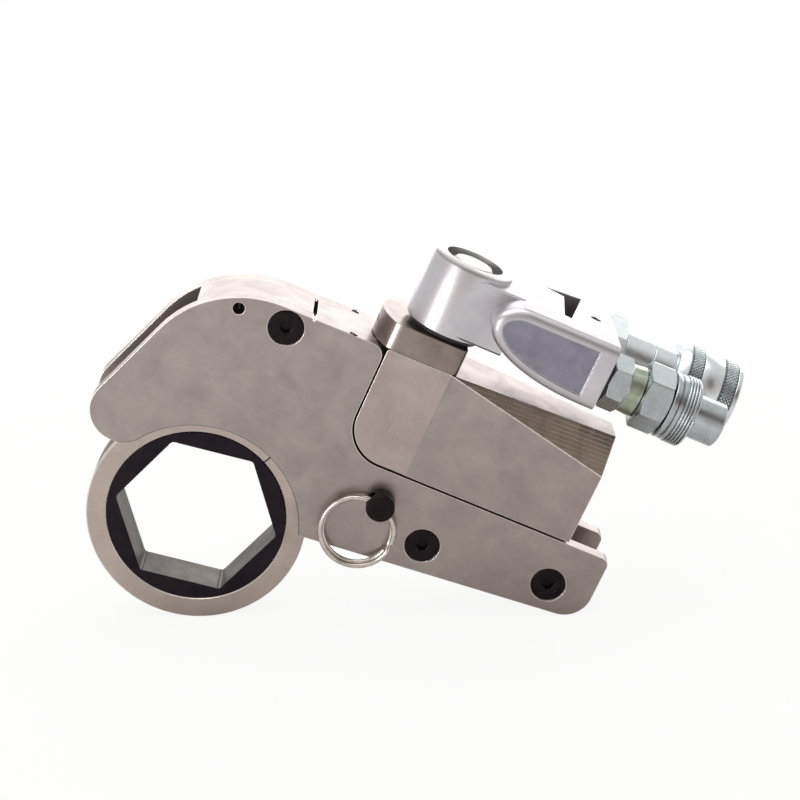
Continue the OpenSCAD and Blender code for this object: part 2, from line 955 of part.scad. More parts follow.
module swivel_manifold() {
    color(alloy) tool() difference() {
        union() {
            at_post() rotate_extrude() polygon([
                [0, barrel_z], [barrel_r - 0.8, barrel_z], [barrel_r, barrel_z + 0.8],
                [barrel_r, barrel_top - 2], [barrel_r - 0.6, barrel_top - 0.6],
                [barrel_r - 2, barrel_top], [0, barrel_top]
            ]);
            neck();
            lobe();
            mirrored_y() lobe();
        }
        lobe_panel();
        mirrored_y() lobe_panel();
        at_post(lobe_low - over) linear_extrude(barrel_h) polygon(window);
        at_post(barrel_z - over) cylinder(r = post_r + run_gap, h = barrel_h + 2 * over);
        at_post(recess_z) cylinder(r = recess_r, h = barrel_h);
        for (side = [-1, 1])
            axial(port_r, lobe_end - port_deep, lobe_end + over, y = side * port_y, z = port_z);
        translate([plug_at[0], plug_at[1], lobe_top - plug_deep]) cylinder(r = plug_r, h = 20);
    }
}

module gallery_plug() {
    color(black) tool() translate([plug_at[0], plug_at[1], lobe_top - plug_deep + seat_gap])
        cylinder(r = plug_r - 0.02, h = plug_deep - 2);
}

// Couplers

module bonded_seal(side) {
    difference() {
        axial(bond_r, lobe_end + seat_gap, lobe_end + seat_gap + bond_w, y = side * port_y, z = port_z);
        axial(port_r, lobe_end - over, lobe_end + bond_w + over, y = side * port_y, z = port_z);
    }
}

module near_bonded_seal() {
    color(rubber) tool() bonded_seal(-1);
}

module far_bonded_seal() {
    color(rubber) tool() bonded_seal(1);
}

// Nipple with a hexagon, screwed into the lobe, with a collar up to the coupler's seat
module adapter(side, af, seat) {
    y = side * port_y;
    rim = seat - seat_gap;
    difference() {
        union() {
            intersection() {
                hex_bar(af, nut_x, stem_x, y, port_z, nut_turn);
                turned(y, port_z) polygon([
                    [0, nut_x], [af / 2 - 0.3, nut_x], [af / sqrt(3) + 0.1, nut_x + 1.4],
                    [af / sqrt(3) + 0.1, stem_x - 1.4], [af / 2 - 0.3, stem_x], [0, stem_x]
                ]);
            }
            axial(port_r - 0.02, lobe_end - port_deep + 2, nut_x + over, y = y, z = port_z);
            turned(y, port_z) polygon([
                [0, stem_x - over], [stem_r - stem_edge, stem_x - over],
                [stem_r, rim - stem_edge], [stem_r - stem_edge, rim], [0, rim]
            ]);
            axial(screw_stem_r - 0.02, rim - over, seat + screw_stem_deep - 1, y = y, z = port_z);
        }
        axial(3, lobe_end - port_deep, seat + screw_stem_deep, y = y, z = port_z);
    }
}

module near_adapter() {
    color(zinc) tool() adapter(-1, nut_af, hex_x);
}

module far_adapter() {
    color(zinc) tool() adapter(1, far_nut_af, far_x);
}

module near_coupler_body() {
    y = -port_y;
    color(zinc) tool() difference() {
        union() {
            intersection() {
                hex_bar(body_af, hex_x, shoulder_x, y, port_z, body_turn);
                turned(y, port_z) polygon([
                    [0, hex_x], [body_af / 2 - 1, hex_x], [body_af / 2 + 2.4, hex_x + 2],
                    [body_af / 2 + 2.4, shoulder_x - 0.6], [body_af / 2 + 0.5, shoulder_x], [0, shoulder_x]
                ]);
            }
            turned(y, port_z) polygon([
                [0, shoulder_x - over], [thread_r - 0.6, shoulder_x - over], [thread_r - 0.6, male_x],
                [thread_r, male_x + 0.6], [thread_r, nose_x - 0.6], [thread_r - 0.6, nose_x],
                [nose_tip_r, nose_x], [nose_tip_r, nose_end - 0.8], [nose_tip_r - 0.8, nose_end],
                [0, nose_end]
            ]);
        }
        axial(screw_stem_r, hex_x - over, hex_x + screw_stem_deep, y = y, z = port_z);
        axial(poppet_hole_r, hex_x, nose_end + over, y = y, z = port_z);
        axial(poppet_r + 1, shoulder_x - 2, near_mouth, y = y, z = port_z);
    }
}

// Poppet: a guided head that closes the mouth and a stem behind it
module poppet(y, mouth, back) {
    axial(poppet_r, mouth - poppet_head, mouth - 0.5, y = y, z = port_z);
    axial(poppet_hole_r - 0.4, mouth - 1.5, mouth + 3.2, y = y, z = port_z);
    axial(2.2, back, mouth - poppet_head + over, y = y, z = port_z);
}

// Spring round the poppet's stem, up to where its head stops when pressed
module poppet_spring(y, from, mouth) {
    room = mouth - poppet_head - poppet_travel - spring_gap - from;
    translate([from, y, port_z])
        rotate([0, 90, 0]) coil(4.3, spring_wire_r, room, 4);
}

module near_poppet() {
    color(steel) tool() poppet(-port_y, near_mouth, shoulder_x + 8);
}

module near_poppet_spring() {
    color(steel) tool() poppet_spring(-port_y, shoulder_x - 1.9, near_mouth);
}

module far_coupler_body() {
    y = port_y;
    groove = far_x + 15.3;
    color(zinc) tool() difference() {
        turned(y, port_z) polygon([
            [0, far_x], [female_r - 1, far_x], [female_r, far_x + 1], [female_r, groove],
            [female_r - 0.8, groove + 0.5], [female_r, groove + 1], [female_r, collar_x - 1.2],
            [female_r - 0.6, collar_x - 0.6], [sleeve_r, collar_x - 0.6],
            [sleeve_r, collar_x + collar_lip + 0.4], [sleeve_r - 1, collar_x + collar_lip + 0.4],
            [sleeve_r - 1, collar_x + collar_lip + 0.5 + snap_w],
            [sleeve_r, collar_x + collar_lip + 0.5 + snap_w], [sleeve_r, sleeve_end - 0.6],
            [sleeve_r - 0.6, sleeve_end], [0, sleeve_end]
        ]);
        axial(screw_stem_r, far_x - over, far_x + screw_stem_deep, y = y, z = port_z);
        axial(poppet_hole_r, far_x, sleeve_end, y = y, z = port_z);
        axial(poppet_r + 1, chamber_x, far_mouth, y = y, z = port_z);
        axial(socket_r, sleeve_end - socket_deep, sleeve_end + over, y = y, z = port_z);
    }
}

module coupler_collar() {
    collar_end = collar_x + collar_len;
    color(zinc) tool() turned(port_y, port_z) polygon([
        [sleeve_r + run_gap, collar_x], [collar_r - 3, collar_x], [collar_r - 1.5, collar_x + 2.5],
        [collar_r - 0.6, collar_x + 4.5], [collar_r, collar_x + 5], [collar_r, collar_x + 12],
        [collar_r - 0.6, collar_x + 12.6], [collar_r - 0.6, collar_end - 10.6],
        [collar_r, collar_end - 10], [collar_r, collar_end - 2.6], [collar_r - 0.6, collar_end - 2],
        [collar_r - 0.6, collar_end - 0.6], [collar_r - 1.2, collar_end],
        [collar_cave_r, collar_end], [collar_cave_r, collar_x + collar_lip],
        [sleeve_r + run_gap, collar_x + collar_lip]
    ]);
}

module collar_snap_ring() {
    x0 = collar_x + collar_lip + 0.4 + 0.05;
    color(steel) tool() difference() {
        axial(sleeve_r + 1.6, x0, x0 + snap_w, y = port_y, z = port_z);
        axial(sleeve_r - 0.98, x0 - over, x0 + snap_w + over, y = port_y, z = port_z);
        translate([x0 - over, port_y - 1.5, port_z]) cube([snap_w + 2 * over, 3, 2 * sleeve_r]);
    }
}

module far_poppet() {
    color(steel) tool() poppet(port_y, far_mouth, chamber_x + 6);
}

module far_poppet_spring() {
    color(steel) tool() poppet_spring(port_y, chamber_x + 0.1, far_mouth);
}

// Quick-release pin

module release_pin() {
    color(black) tool() difference() {
        union() {
            cross_pin(release_at, pin_r, head_y - over, pin_end_y - 1.5);
            translate([release_at[0], pin_end_y - 1.5, release_at[1]])
                rotate([-90, 0, 0]) cylinder(r1 = pin_r, r2 = pin_r - 1.5, h = 1.5);
            translate([release_at[0], head_y, release_at[1]])
                rotate([90, 0, 0]) rotate_extrude() polygon([
                    [0, 0], [pin_head_r, 0], [pin_head_r, pin_head_len - 0.8],
                    [pin_head_r - 0.8, pin_head_len], [0, pin_head_len]
                ]);
        }
        translate([release_at[0], key_y, release_at[1]])
            rotate([0, -key_dir, 0]) cylinder(r = key_hole_r, h = 4 * pin_head_r, center = true);
        translate([release_at[0] + pin_r - ball_r + 0.1, pin_end_y - 5, release_at[1]])
            sphere(r = ball_r + 0.02);
    }
}

module pin_ball() {
    color(steel) tool()
        translate([release_at[0] + pin_r - ball_r + 0.1, pin_end_y - 5, release_at[1]])
            sphere(r = ball_r);
}

// Two coils of wire, wound side by side
module pin_split_ring() {
    color(steel) tool() translate([key_c[0], key_y, key_c[1]]) rotate([90, 0, 0])
        rotate_extrude() {
            translate([key_mid_r, 0.9 * key_wire_r]) circle(key_wire_r);
            translate([key_mid_r, -0.9 * key_wire_r]) circle(key_wire_r);
        }
}

near_side_plate();
far_side_plate();
eye_body();
near_bearing_ring();
far_bearing_ring();
ring_dowels();
link_dowels();
front_spacer();
rear_spacer();
tail_spacer();
near_plate_screws();
far_plate_screws();
spacer_pins();
hex_ratchet();
drive_lever();
drive_pawl();
pawl_spring();
piston_rod();
piston_seal();
rod_pin();
cylinder_block();
rod_gland();
rod_seal();
end_cap();
end_cap_seal();
swivel_base();
swivel_post();
post_seals();
thrust_washer();
post_retaining_ring();
swivel_manifold();
gallery_plug();
near_bonded_seal();
far_bonded_seal();
near_adapter();
far_adapter();
near_coupler_body();
near_poppet();
near_poppet_spring();
far_coupler_body();
coupler_collar();
collar_snap_ring();
far_poppet();
far_poppet_spring();
release_pin();
pin_ball();
pin_split_ring();
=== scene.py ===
import json
import math

import bmesh
import bpy
from bpy.props import FloatProperty, FloatVectorProperty, IntProperty, PointerProperty
from mathutils import Matrix, Vector


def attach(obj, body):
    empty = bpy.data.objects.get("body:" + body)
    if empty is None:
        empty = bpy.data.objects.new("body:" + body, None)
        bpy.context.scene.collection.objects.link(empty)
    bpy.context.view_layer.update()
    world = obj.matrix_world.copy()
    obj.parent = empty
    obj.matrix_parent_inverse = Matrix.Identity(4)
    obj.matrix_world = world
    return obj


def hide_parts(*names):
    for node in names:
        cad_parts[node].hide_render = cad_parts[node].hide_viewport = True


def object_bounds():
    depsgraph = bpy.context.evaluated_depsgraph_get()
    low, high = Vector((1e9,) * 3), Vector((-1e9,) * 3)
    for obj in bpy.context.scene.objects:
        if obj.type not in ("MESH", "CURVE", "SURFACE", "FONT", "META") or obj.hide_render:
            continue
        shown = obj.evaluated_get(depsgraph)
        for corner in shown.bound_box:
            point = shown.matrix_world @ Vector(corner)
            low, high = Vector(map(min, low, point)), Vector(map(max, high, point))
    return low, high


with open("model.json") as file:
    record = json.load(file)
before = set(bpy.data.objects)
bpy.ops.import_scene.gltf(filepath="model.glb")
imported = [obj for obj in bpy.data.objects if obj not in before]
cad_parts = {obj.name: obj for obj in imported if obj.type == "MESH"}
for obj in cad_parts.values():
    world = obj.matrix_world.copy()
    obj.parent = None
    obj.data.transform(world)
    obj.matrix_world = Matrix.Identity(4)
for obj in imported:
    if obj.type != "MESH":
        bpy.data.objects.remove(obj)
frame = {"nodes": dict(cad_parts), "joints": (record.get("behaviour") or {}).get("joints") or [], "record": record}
CAD_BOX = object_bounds()

bl_info = {
    "name": "Hydraulic torque wrench",
    "version": (1, 0, 0),
    "blender": (4, 5, 0),
    "location": "3D View > Sidebar > Wrench",
    "description": "Dresses the low-profile hydraulic torque wrench in its plated and machined finishes",
    "category": "Object",
}

MM = 0.001
WELD = 2e-6
TURN = 2 * math.pi

# The tool's own axes: x runs along the cylinder, z up through the swivel post
STROKE = next(j for j in frame["joints"] if j["name"] == "piston_stroke")["axis"]
PITCH = math.atan2(STROKE[2], -STROKE[0])
TOOL = Matrix.Rotation(PITCH, 4, "Y") @ Matrix.Scale(MM, 4)
UNTOOL = TOOL.inverted()

BODY_OF = {
    node: body
    for body, nodes in frame["record"]["behaviour"]["bodies"].items()
    for node in nodes
}

# Places in the tool's frame, in millimetres, as the solids have them
FACE_Y = 20.5
SCREW_PLACES = ((2.6, 109.9), (106.5, 33.4), (171.7, 39.16))
SCREW_HEAD_R = 8.3
SCREW_R = 4.0
SCREW_SINK = 0.3
SCREW_KEY = 5.0
HUB_R = 43.91
RING_IN = 43.96
RING_OUT = 54.06
RING_Y = 11.9
GUARD_Y = 6.45
RING_SPLIT = 0.8
RING_SPLIT_AT = math.radians(63.5)
POST_X = 73.9
PORT_Y = 24.0
PORT_Z = 148.45
STEM_X = 160.5
HEX_X = 167.9
BODY_AF = 29.0
BODY_TURN = math.radians(-12)
SHOULDER_X = 181.5
MALE_X = 186.9
NOSE_X = 194.7
NOSE_END = 210.3
THREAD_R = 17.0
NOSE_R = 10.8
COLLAR_X = 189.0
COLLAR_END = 222.0
COLLAR_R = 20.5
COLLAR_CAVE_R = 17.4
SLEEVE_BORE_R = 13.65
BLOCK_END = 171.6
BLOCK_TOP = 119.7
CHAMFER_X = 83.0
CHAMFER_DROP = 18.5
CHAMFER_IN = 11.0
LAND_X = 84.3
SPACER_GAP_X = 13.2
# How far forward the painted shade between the plates reaches
INNER_X = 20.0
BASE_NOSE_R = 31.4
BARREL_RIM = 168.8
SOCKET_R = 40.41
KEY_RING_C = (73.455, -25.4, 29.978)
KEY_RING_R = 17.4
KEY_WIRE_R = 1.2
KEY_HOLE_AT = math.radians(72.8)
PANEL_Y = (35.7, 36.6)
NECK_X = (POST_X - 21.0, POST_X + 34.0)
NECK_Y = 21.5
LAND_Y = 19.0

# Half the angle at the pin's hole in which the split ring's turns lie side by side, in radians
KEY_CLOSE = 0.44

# How far from its place a face or an edge is still picked, in millimetres
LAND_EDGE = 0.6
ARC_EDGE = 1.5
HUB_WALL = 2.0

# Edges that turn by more degrees than the first are broken, faces within the second are one
SHARP = 31
FLAT = 0.5

# The camera of the photograph in the model's frame, and the floor, in metres
CAMERA_AT = (0.1109330, -0.9647440, 0.3952350)
CAMERA_RIGHT = Vector((0.9996314, 0.0, -0.0271488))
CAMERA_UP = Vector((0.0255916, 0.3338069, 0.9422940))
SENSOR_MM = 36.0
FLOOR_R = 6.0
FLOOR_DROP = 0.0002
FLOOR_FADE = (0.22, 0.55)
WHITE = (1, 1, 1, 1)


def linear(code):
    """Linear RGB of an sRGB hex value."""
    parts = [int(code[i:i + 2], 16) / 255 for i in (1, 3, 5)]
    return tuple(c / 12.92 if c <= 0.04045 else ((c + 0.055) / 1.055) ** 2.4 for c in parts)


def colour(label, words, code):
    """Colour property with its default as an sRGB hex value."""
    return FloatVectorProperty(
        name=label, description=words, subtype="COLOR", size=3, min=0, max=1, default=linear(code)
    )


def length(label, words, millimetres):
    """Length property with its default in millimetres."""
    return FloatProperty(
        name=label, description=words, unit="LENGTH", min=0, precision=5, default=millimetres * MM
    )


class WrenchColours(bpy.types.PropertyGroup):
    nickel: colour("Nickel", "Flat faces of the plates and the block", "#AA9F99")
    nickel_deep: colour("Nickel, shaded", "Cloudy patches in the nickel", "#968B8A")
    # Nickel darkened as painted shade between the plates
    nickel_shadow: colour("Inner nickel", "Nickel between the plates", "#6E6054")
    edge: colour("Broken edge", "Bright line along the broken edges", "#E9E2DA")
    black_oxide: colour("Black oxide", "Screws and the release pin", "#1F1A1D")
    ratchet: colour("Ratchet black", "Faces of the ratchet", "#211D22")
    broached: colour("Broached steel", "Walls of the hexagon", "#59524D")
    ground: colour("Ground steel", "Pins, rod and poppets", "#C2BFBB")
    aluminium: colour("Blasted aluminium", "Swivel manifold", "#CCC8CB")
    panel: colour("Milled panel", "Recess in the lobes", "#8F8D9A")
    zinc: colour("Zinc plate", "Couplers and adapters", "#BDC2C4")
    olive: colour("Olive passivate", "Collars of the adapters", "#B2B9A6")


class WrenchSizes(bpy.types.PropertyGroup):
    edge: length("Edge break", "Width of the broken edges of the plates and block", 0.35)
    fine_edge: length("Fine edge break", "Width of the broken edges of small parts", 0.2)
    spacer_gap: length("Spacer gap", "What the spacers are relieved by where they meet", 1.6)
    base_round: length("Base round", "Round where the swivel base's nose meets its sides", 7.0)
    socket_round: length("Socket round", "What the round takes off each corner of the hexagon", 2.3)
    ring_edge: length("Ring chamfer", "Chamfer of the bearing rings", 0.6)
    knurl_pitch: length("Knurl pitch", "Distance between the diamonds of the knurl", 1.9)
    knurl_height: length("Knurl height", "Height of the diamonds", 0.7)
    thread_pitch: length("Coupler thread", "Pitch of the thread of the male coupler", 1.5)
    row_height: length("Mill row height", "Height of the cusps left on the block's chamfer", 0.12)
    rows: IntProperty(
        name="Mill rows", description="Cusps on each chamfer of the block", min=2, max=20, default=9
    )


class WrenchStage(bpy.types.PropertyGroup):
    lens: FloatProperty(
        name="Lens", description="Focal length on a 36 mm sensor", unit="CAMERA", default=94.5
    )
    floor: colour("Floor", "Pale floor", "#D6D4D2")
    pale_shadow: FloatProperty(
        name="Pale shadow", description="Share of white in the floor under the wrench",
        subtype="FACTOR", min=0, max=1, default=0.9
    )
    world: FloatProperty(
        name="Studio level", description="Strength of the light from all round", min=0, default=0.9
    )


def sizes():
    return bpy.context.scene.wrench_sizes


def add(tree, kind, inputs=None, **settings):
    """Adds one node. Inputs are values, sockets, or nodes whose first output they take."""
    node = tree.nodes.new(kind)
    for key, value in settings.items():
        setattr(node, key, value)
    for key, value in (inputs or {}).items():
        if isinstance(value, bpy.types.Node):
            value = value.outputs[0]
        if isinstance(value, bpy.types.NodeSocket):
            tree.links.new(value, node.inputs[key])
        else:
            node.inputs[key].default_value = value
    return node


def bare_tree(data):
    """Emptied node tree of a material or a world."""
    data.use_nodes = True
    data.node_tree.nodes.clear()
    return data.node_tree


def rgba(rgb):
    return (*rgb, 1.0)


def mark_space(tree, tool, lay, mark, axis):
    """Coordinates in which one tool mark is one unit wide and one unit long."""
    width, run = mark
    if not lay.startswith("turn"):
        scale = [1 / run if lay == letter else 1 / width for letter in "xyz"]
        return add(tree, "ShaderNodeMapping", {"Vector": tool, "Scale": scale})
    along = lay[-1].upper()
    split = add(tree, "ShaderNodeSeparateXYZ", {"Vector": tool}).outputs
    off = [
        add(tree, "ShaderNodeMath", {0: split[letter], 1: centre}, operation="SUBTRACT")
        for letter, centre in zip("XYZ".replace(along, ""), axis)
    ]
    flat = add(tree, "ShaderNodeCombineXYZ", {"X": off[0], "Y": off[1]})
    radius = add(tree, "ShaderNodeVectorMath", {0: flat}, operation="LENGTH").outputs["Value"]
    turned = add(tree, "ShaderNodeCombineXYZ", {"X": radius, "Y": split[along]})
    return add(tree, "ShaderNodeMapping", {"Vector": turned, "Scale": (1 / width,) * 3})


def finish(name, pale, deep, rough, cloud, mark, lay, height, axis=(0, 0), metallic=1.0, scratch=0.0,
           speck=None, painted_shade=None):
    """Worked metal: cloudy patches of two tones and tool marks, with their own gloss and bump.

    Rough gives the least and the most roughness. Cloud, mark and height are sizes in millimetres,
    mark as (width, length). Lay says how the tool went: "x" or "y" or "z" for straight marks,
    "turn_x", "turn_y" or "turn_z" for marks turned about that axis. Scratch is the strength of
    slanting scratches. Speck gives fine spots as (size, share of the surface from 0 to 1, colour).
    Painted shade darkens what lies ahead of x and within y of the middle, as (x, y, colour).
    """
    found = bpy.data.materials.get(name)
    if found:
        return found
    material = bpy.data.materials.new(name)
    tree = bare_tree(material)
    where = add(tree, "ShaderNodeTexCoord").outputs["Object"]
    tool = add(tree, "ShaderNodeMapping", {
        "Vector": where, "Rotation": (0, -PITCH, 0), "Scale": (1 / MM,) * 3,
    })
    marks = add(tree, "ShaderNodeTexNoise", {
        "Vector": mark_space(tree, tool, lay, mark, axis), "Scale": 1.0, "Detail": 2.0,
        "Roughness": 0.6,
    })
    patches = add(tree, "ShaderNodeTexNoise", {
        "Vector": tool, "Scale": 1 / cloud, "Detail": 4.0, "Roughness": 0.62, "Distortion": 0.4,
    })
    spread = add(tree, "ShaderNodeMapRange", {
        "Value": patches, "From Min": 0.32, "From Max": 0.68, "To Min": 0.0, "To Max": 0.75,
    })
    blend = add(tree, "ShaderNodeMath", {0: marks, 1: 0.3, 2: spread}, operation="MULTIPLY_ADD")
    gloss = add(tree, "ShaderNodeMapRange", {"Value": blend, "To Min": rough[0], "To Max": rough[1]})
    layers = [(blend, deep)]
    if scratch:
        lines_at = add(tree, "ShaderNodeMapping", {
            "Vector": tool, "Rotation": (0.0, 0.6, 0.0), "Scale": (1 / 7, 1 / 7, 1 / 0.7),
        })
        lines = add(tree, "ShaderNodeTexNoise", {
            "Vector": lines_at, "Scale": 1.0, "Detail": 1.0, "Distortion": 1.6,
        })
        thin = add(tree, "ShaderNodeMapRange", {
            "Value": lines, "From Min": 0.66, "From Max": 0.72, "To Min": 0.0, "To Max": scratch,
        })
        layers.append((thin, linear("#D8D0C8")))
    if speck:
        size, share, spot = speck
        spots = add(tree, "ShaderNodeTexNoise", {
            "Vector": tool, "Scale": 1 / size, "Detail": 1.0, "Roughness": 0.5,
        })
        dots = add(tree, "ShaderNodeMapRange", {
            "Value": spots, "From Min": 0.8 - 0.3 * share, "From Max": 0.84 - 0.3 * share,
            "To Min": 0.0, "To Max": 0.7,
        })
        layers.append((dots, spot))
    # Painted shade: a darker brown ahead of x and near the middle in y, where the plates face each other
    if painted_shade:
        ahead, depth, shade_colour = painted_shade
        split = add(tree, "ShaderNodeSeparateXYZ", {"Vector": tool}).outputs
        off = add(tree, "ShaderNodeMath", {0: split["Y"]}, operation="ABSOLUTE")
        inside = add(tree, "ShaderNodeMath", {0: off, 1: depth}, operation="LESS_THAN")
        near = add(tree, "ShaderNodeMath", {0: split["X"], 1: ahead}, operation="LESS_THAN")
        both = add(tree, "ShaderNodeMath", {0: inside, 1: near}, operation="MULTIPLY")
        layers.append((both, shade_colour))
    tone = rgba(pale)
    for factor, over in layers:
        tone = add(tree, "ShaderNodeMix", {
            "Factor": factor, 6: tone, 7: rgba(over),
        }, data_type="RGBA").outputs[2]
    bump = add(tree, "ShaderNodeBump", {"Strength": 1.0, "Distance": height * MM, "Height": marks})
    shader = add(tree, "ShaderNodeBsdfPrincipled", {
        "Base Color": tone, "Roughness": gloss, "Metallic": metallic, "Normal": bump,
    })
    add(tree, "ShaderNodeOutputMaterial", {"Surface": shader})
    return material


def look(name):
    """Finish of that name, made when it is first asked for."""
    c = bpy.context.scene.wrench_colours
    near_port = (-PORT_Y, PORT_Z)
    far_port = (PORT_Y, PORT_Z)
    # Electroless nickel over ground steel: warm grey satin with cloudy patches and a few pits
    ground_nickel = dict(
        pale=c.nickel, deep=c.nickel_deep, rough=(0.28, 0.38), cloud=16, mark=(0.7, 12), lay="x",
        height=0.003, scratch=0.08, speck=(0.9, 0.08, linear("#6E6464")))
    table = {
        "nickel_over_ground_steel": ground_nickel,
        # The plates: the same nickel, with shade painted dark brown where they face each other
        "nickel_over_ground_plate": dict(
            ground_nickel, painted_shade=(INNER_X, RING_Y + 0.3, linear("#5E4F42"))),
        # The block's land: the same nickel, painted a shade paler as a painted reflection of the light there
        "nickel_over_ground_land": dict(
            pale=linear("#B9ACA6"), deep=linear("#A2958F"), rough=(0.3, 0.4), cloud=24,
            mark=(0.6, 10), lay="z", height=0.003),
        # The same nickel over turned rings: faint circles
        "nickel_over_turned_steel": dict(
            pale=linear("#C3B5AC"), deep=linear("#A69A93"), rough=(0.26, 0.38), cloud=26,
            mark=(0.6, 1), lay="turn_y", height=0.006, scratch=0.1),
        # Nickel in the gap between the plates: darker and browner, as painted shade where little light reaches
        "nickel_in_the_gap": dict(
            pale=c.nickel_shadow, deep=linear("#56493E"), rough=(0.4, 0.55), cloud=9,
            mark=(0.8, 8), lay="x", height=0.006),
        # Edge rubbed bright by handling
        "nickel_rubbed_edge": dict(
            pale=c.edge, deep=linear("#CFC6BE"), rough=(0.22, 0.32), cloud=5,
            mark=(0.5, 3), lay="x", height=0.002),
        # Milled chamfer: nickel over cutter marks, browner and glossier than the ground faces
        "nickel_over_milled_steel": dict(
            pale=linear("#A4968A"), deep=linear("#8A7C70"), rough=(0.12, 0.2), cloud=10,
            mark=(0.55, 60), lay="x", height=0.01),
        # Cusps between the cutter's rows, a little rubbed
        "nickel_on_mill_cusps": dict(
            pale=linear("#B9AB9E"), deep=linear("#8F8175"), rough=(0.2, 0.34), cloud=14,
            mark=(0.5, 30), lay="x", height=0.004),
        # Swivel base: nickel over the fine upright lines of a belt
        "nickel_over_belted_steel": dict(
            pale=linear("#9A8D86"), deep=linear("#7A6D67"), rough=(0.18, 0.28), cloud=12,
            mark=(0.5, 12), lay="z", height=0.01),
        # Black oxide: a thin, slightly oily black
        "black_oxide_on_steel": dict(
            pale=c.black_oxide, deep=linear("#2A2527"), rough=(0.3, 0.46), cloud=4,
            mark=(0.5, 3), lay="turn_y", height=0.004),
        # Black phosphate of the ratchet, with a violet cast
        "black_phosphate_on_steel": dict(
            pale=c.ratchet, deep=linear("#2E282E"), rough=(0.4, 0.55), cloud=9,
            mark=(0.6, 1), lay="turn_y", height=0.006),
        # Broached walls: straight lines along the bore
        "broached_steel": dict(
            pale=c.broached, deep=linear("#3F3A36"), rough=(0.34, 0.5), cloud=24,
            mark=(0.5, 40), lay="y", height=0.05),
        # Ground steel: bright and even
        "ground_steel": dict(
            pale=c.ground, deep=linear("#A5A29E"), rough=(0.2, 0.32), cloud=8,
            mark=(0.5, 6), lay="turn_x", height=0.002),
        # Drawn spring wire: the brightest steel here
        "drawn_spring_wire": dict(
            pale=linear("#E2DCD4"), deep=linear("#B3ACA4"), rough=(0.16, 0.26), cloud=5,
            mark=(0.5, 6), lay="x", height=0.002),
        # Blasted and clear anodised aluminium: pale, with a fine even grain
        "blasted_aluminium": dict(
            pale=c.aluminium, deep=linear("#BAB6BA"), rough=(0.3, 0.4), cloud=16,
            mark=(0.45, 0.45), lay="x", height=0.006),
        # Top of the manifold, faced with a cutter: a shade darker than the blasted sides; the barrel's rounded rim
        # takes it too, as painted shade
        "faced_aluminium": dict(
            pale=linear("#AFABAC"), deep=linear("#A29E9F"), rough=(0.28, 0.36), cloud=16,
            mark=(0.6, 8), lay="y", height=0.004),
        # Milled recess, left bare: blue grey and smooth, with fine bright nicks
        "milled_aluminium": dict(
            pale=c.panel, deep=linear("#7D7B87"), rough=(0.3, 0.42), cloud=8,
            mark=(0.5, 4), lay="x", height=0.004, speck=(0.75, 0.3, linear("#B5B2BD"))),
        # Zinc plate over turned steel: bluish white with faint circles
        "zinc_over_turned_steel": dict(
            pale=c.zinc, deep=linear("#A2A8AB"), rough=(0.18, 0.32), cloud=5,
            mark=(0.55, 1), lay="turn_x", height=0.008, axis=near_port),
        # Zinc plate of the far coupler: the same circles, painted paler as the light on it
        "zinc_over_turned_collar": dict(
            pale=linear("#DEE2E3"), deep=linear("#C6CBCD"), rough=(0.18, 0.32), cloud=5,
            mark=(0.55, 1), lay="turn_x", height=0.008, axis=far_port),
        # Zinc in the valleys of the knurl, darker
        "zinc_in_the_knurl": dict(
            pale=linear("#7A7E80"), deep=linear("#585C5D"), rough=(0.4, 0.5), cloud=4,
            mark=(0.5, 1), lay="turn_x", height=0.006, axis=far_port),
        # Olive passivate over zinc on the adapters' collars: a faint green film
        "olive_passivate_on_zinc": dict(
            pale=c.olive, deep=linear("#8B9280"), rough=(0.16, 0.28), cloud=4,
            mark=(0.5, 3), lay="turn_x", height=0.006, axis=near_port),
        # Nitrile rubber: dull black
        "moulded_rubber": dict(
            pale=linear("#1B1B1D"), deep=linear("#262628"), rough=(0.55, 0.7), cloud=4,
            mark=(0.5, 0.5), lay="x", height=0.01, metallic=0.0),
        # Acetal washer: black with a soft gloss and turned circles
        "turned_acetal": dict(
            pale=linear("#17150F"), deep=linear("#241F1A"), rough=(0.3, 0.45), cloud=5,
            mark=(0.5, 1), lay="turn_z", height=0.01, axis=(POST_X, 0), metallic=0.0),
    }
    return finish(name, **table[name])


def placed(name, data):
    """New object of a mesh, a camera or a lamp, in the scene."""
    obj = bpy.data.objects.new(name, data)
    bpy.context.scene.collection.objects.link(obj)
    return obj


def piece(mesh, node, finishes, instead=True):
    """Finished piece: a plain mesh at the origin that rides with a solid, or stands in for it."""
    obj = placed(mesh.name, mesh)
    while len(mesh.materials) < len(finishes):
        mesh.materials.append(None)
    for i, item in enumerate(finishes):
        mesh.materials[i] = look(item)
    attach(obj, BODY_OF[node])
    if instead:
        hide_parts(node)
    return obj


def mesh_of(bm, name):
    """Mesh of what was built with bmesh."""
    mesh = bpy.data.meshes.new(name)
    bm.to_mesh(mesh)
    bm.free()
    return mesh


def plain_mesh(obj, name):
    """Mesh of an object with its modifiers applied; the object is removed."""
    bpy.context.view_layer.update()
    graph = bpy.context.evaluated_depsgraph_get()
    mesh = bpy.data.meshes.new_from_object(obj.evaluated_get(graph), depsgraph=graph)
    mesh.name = name
    bpy.data.objects.remove(obj)
    return mesh


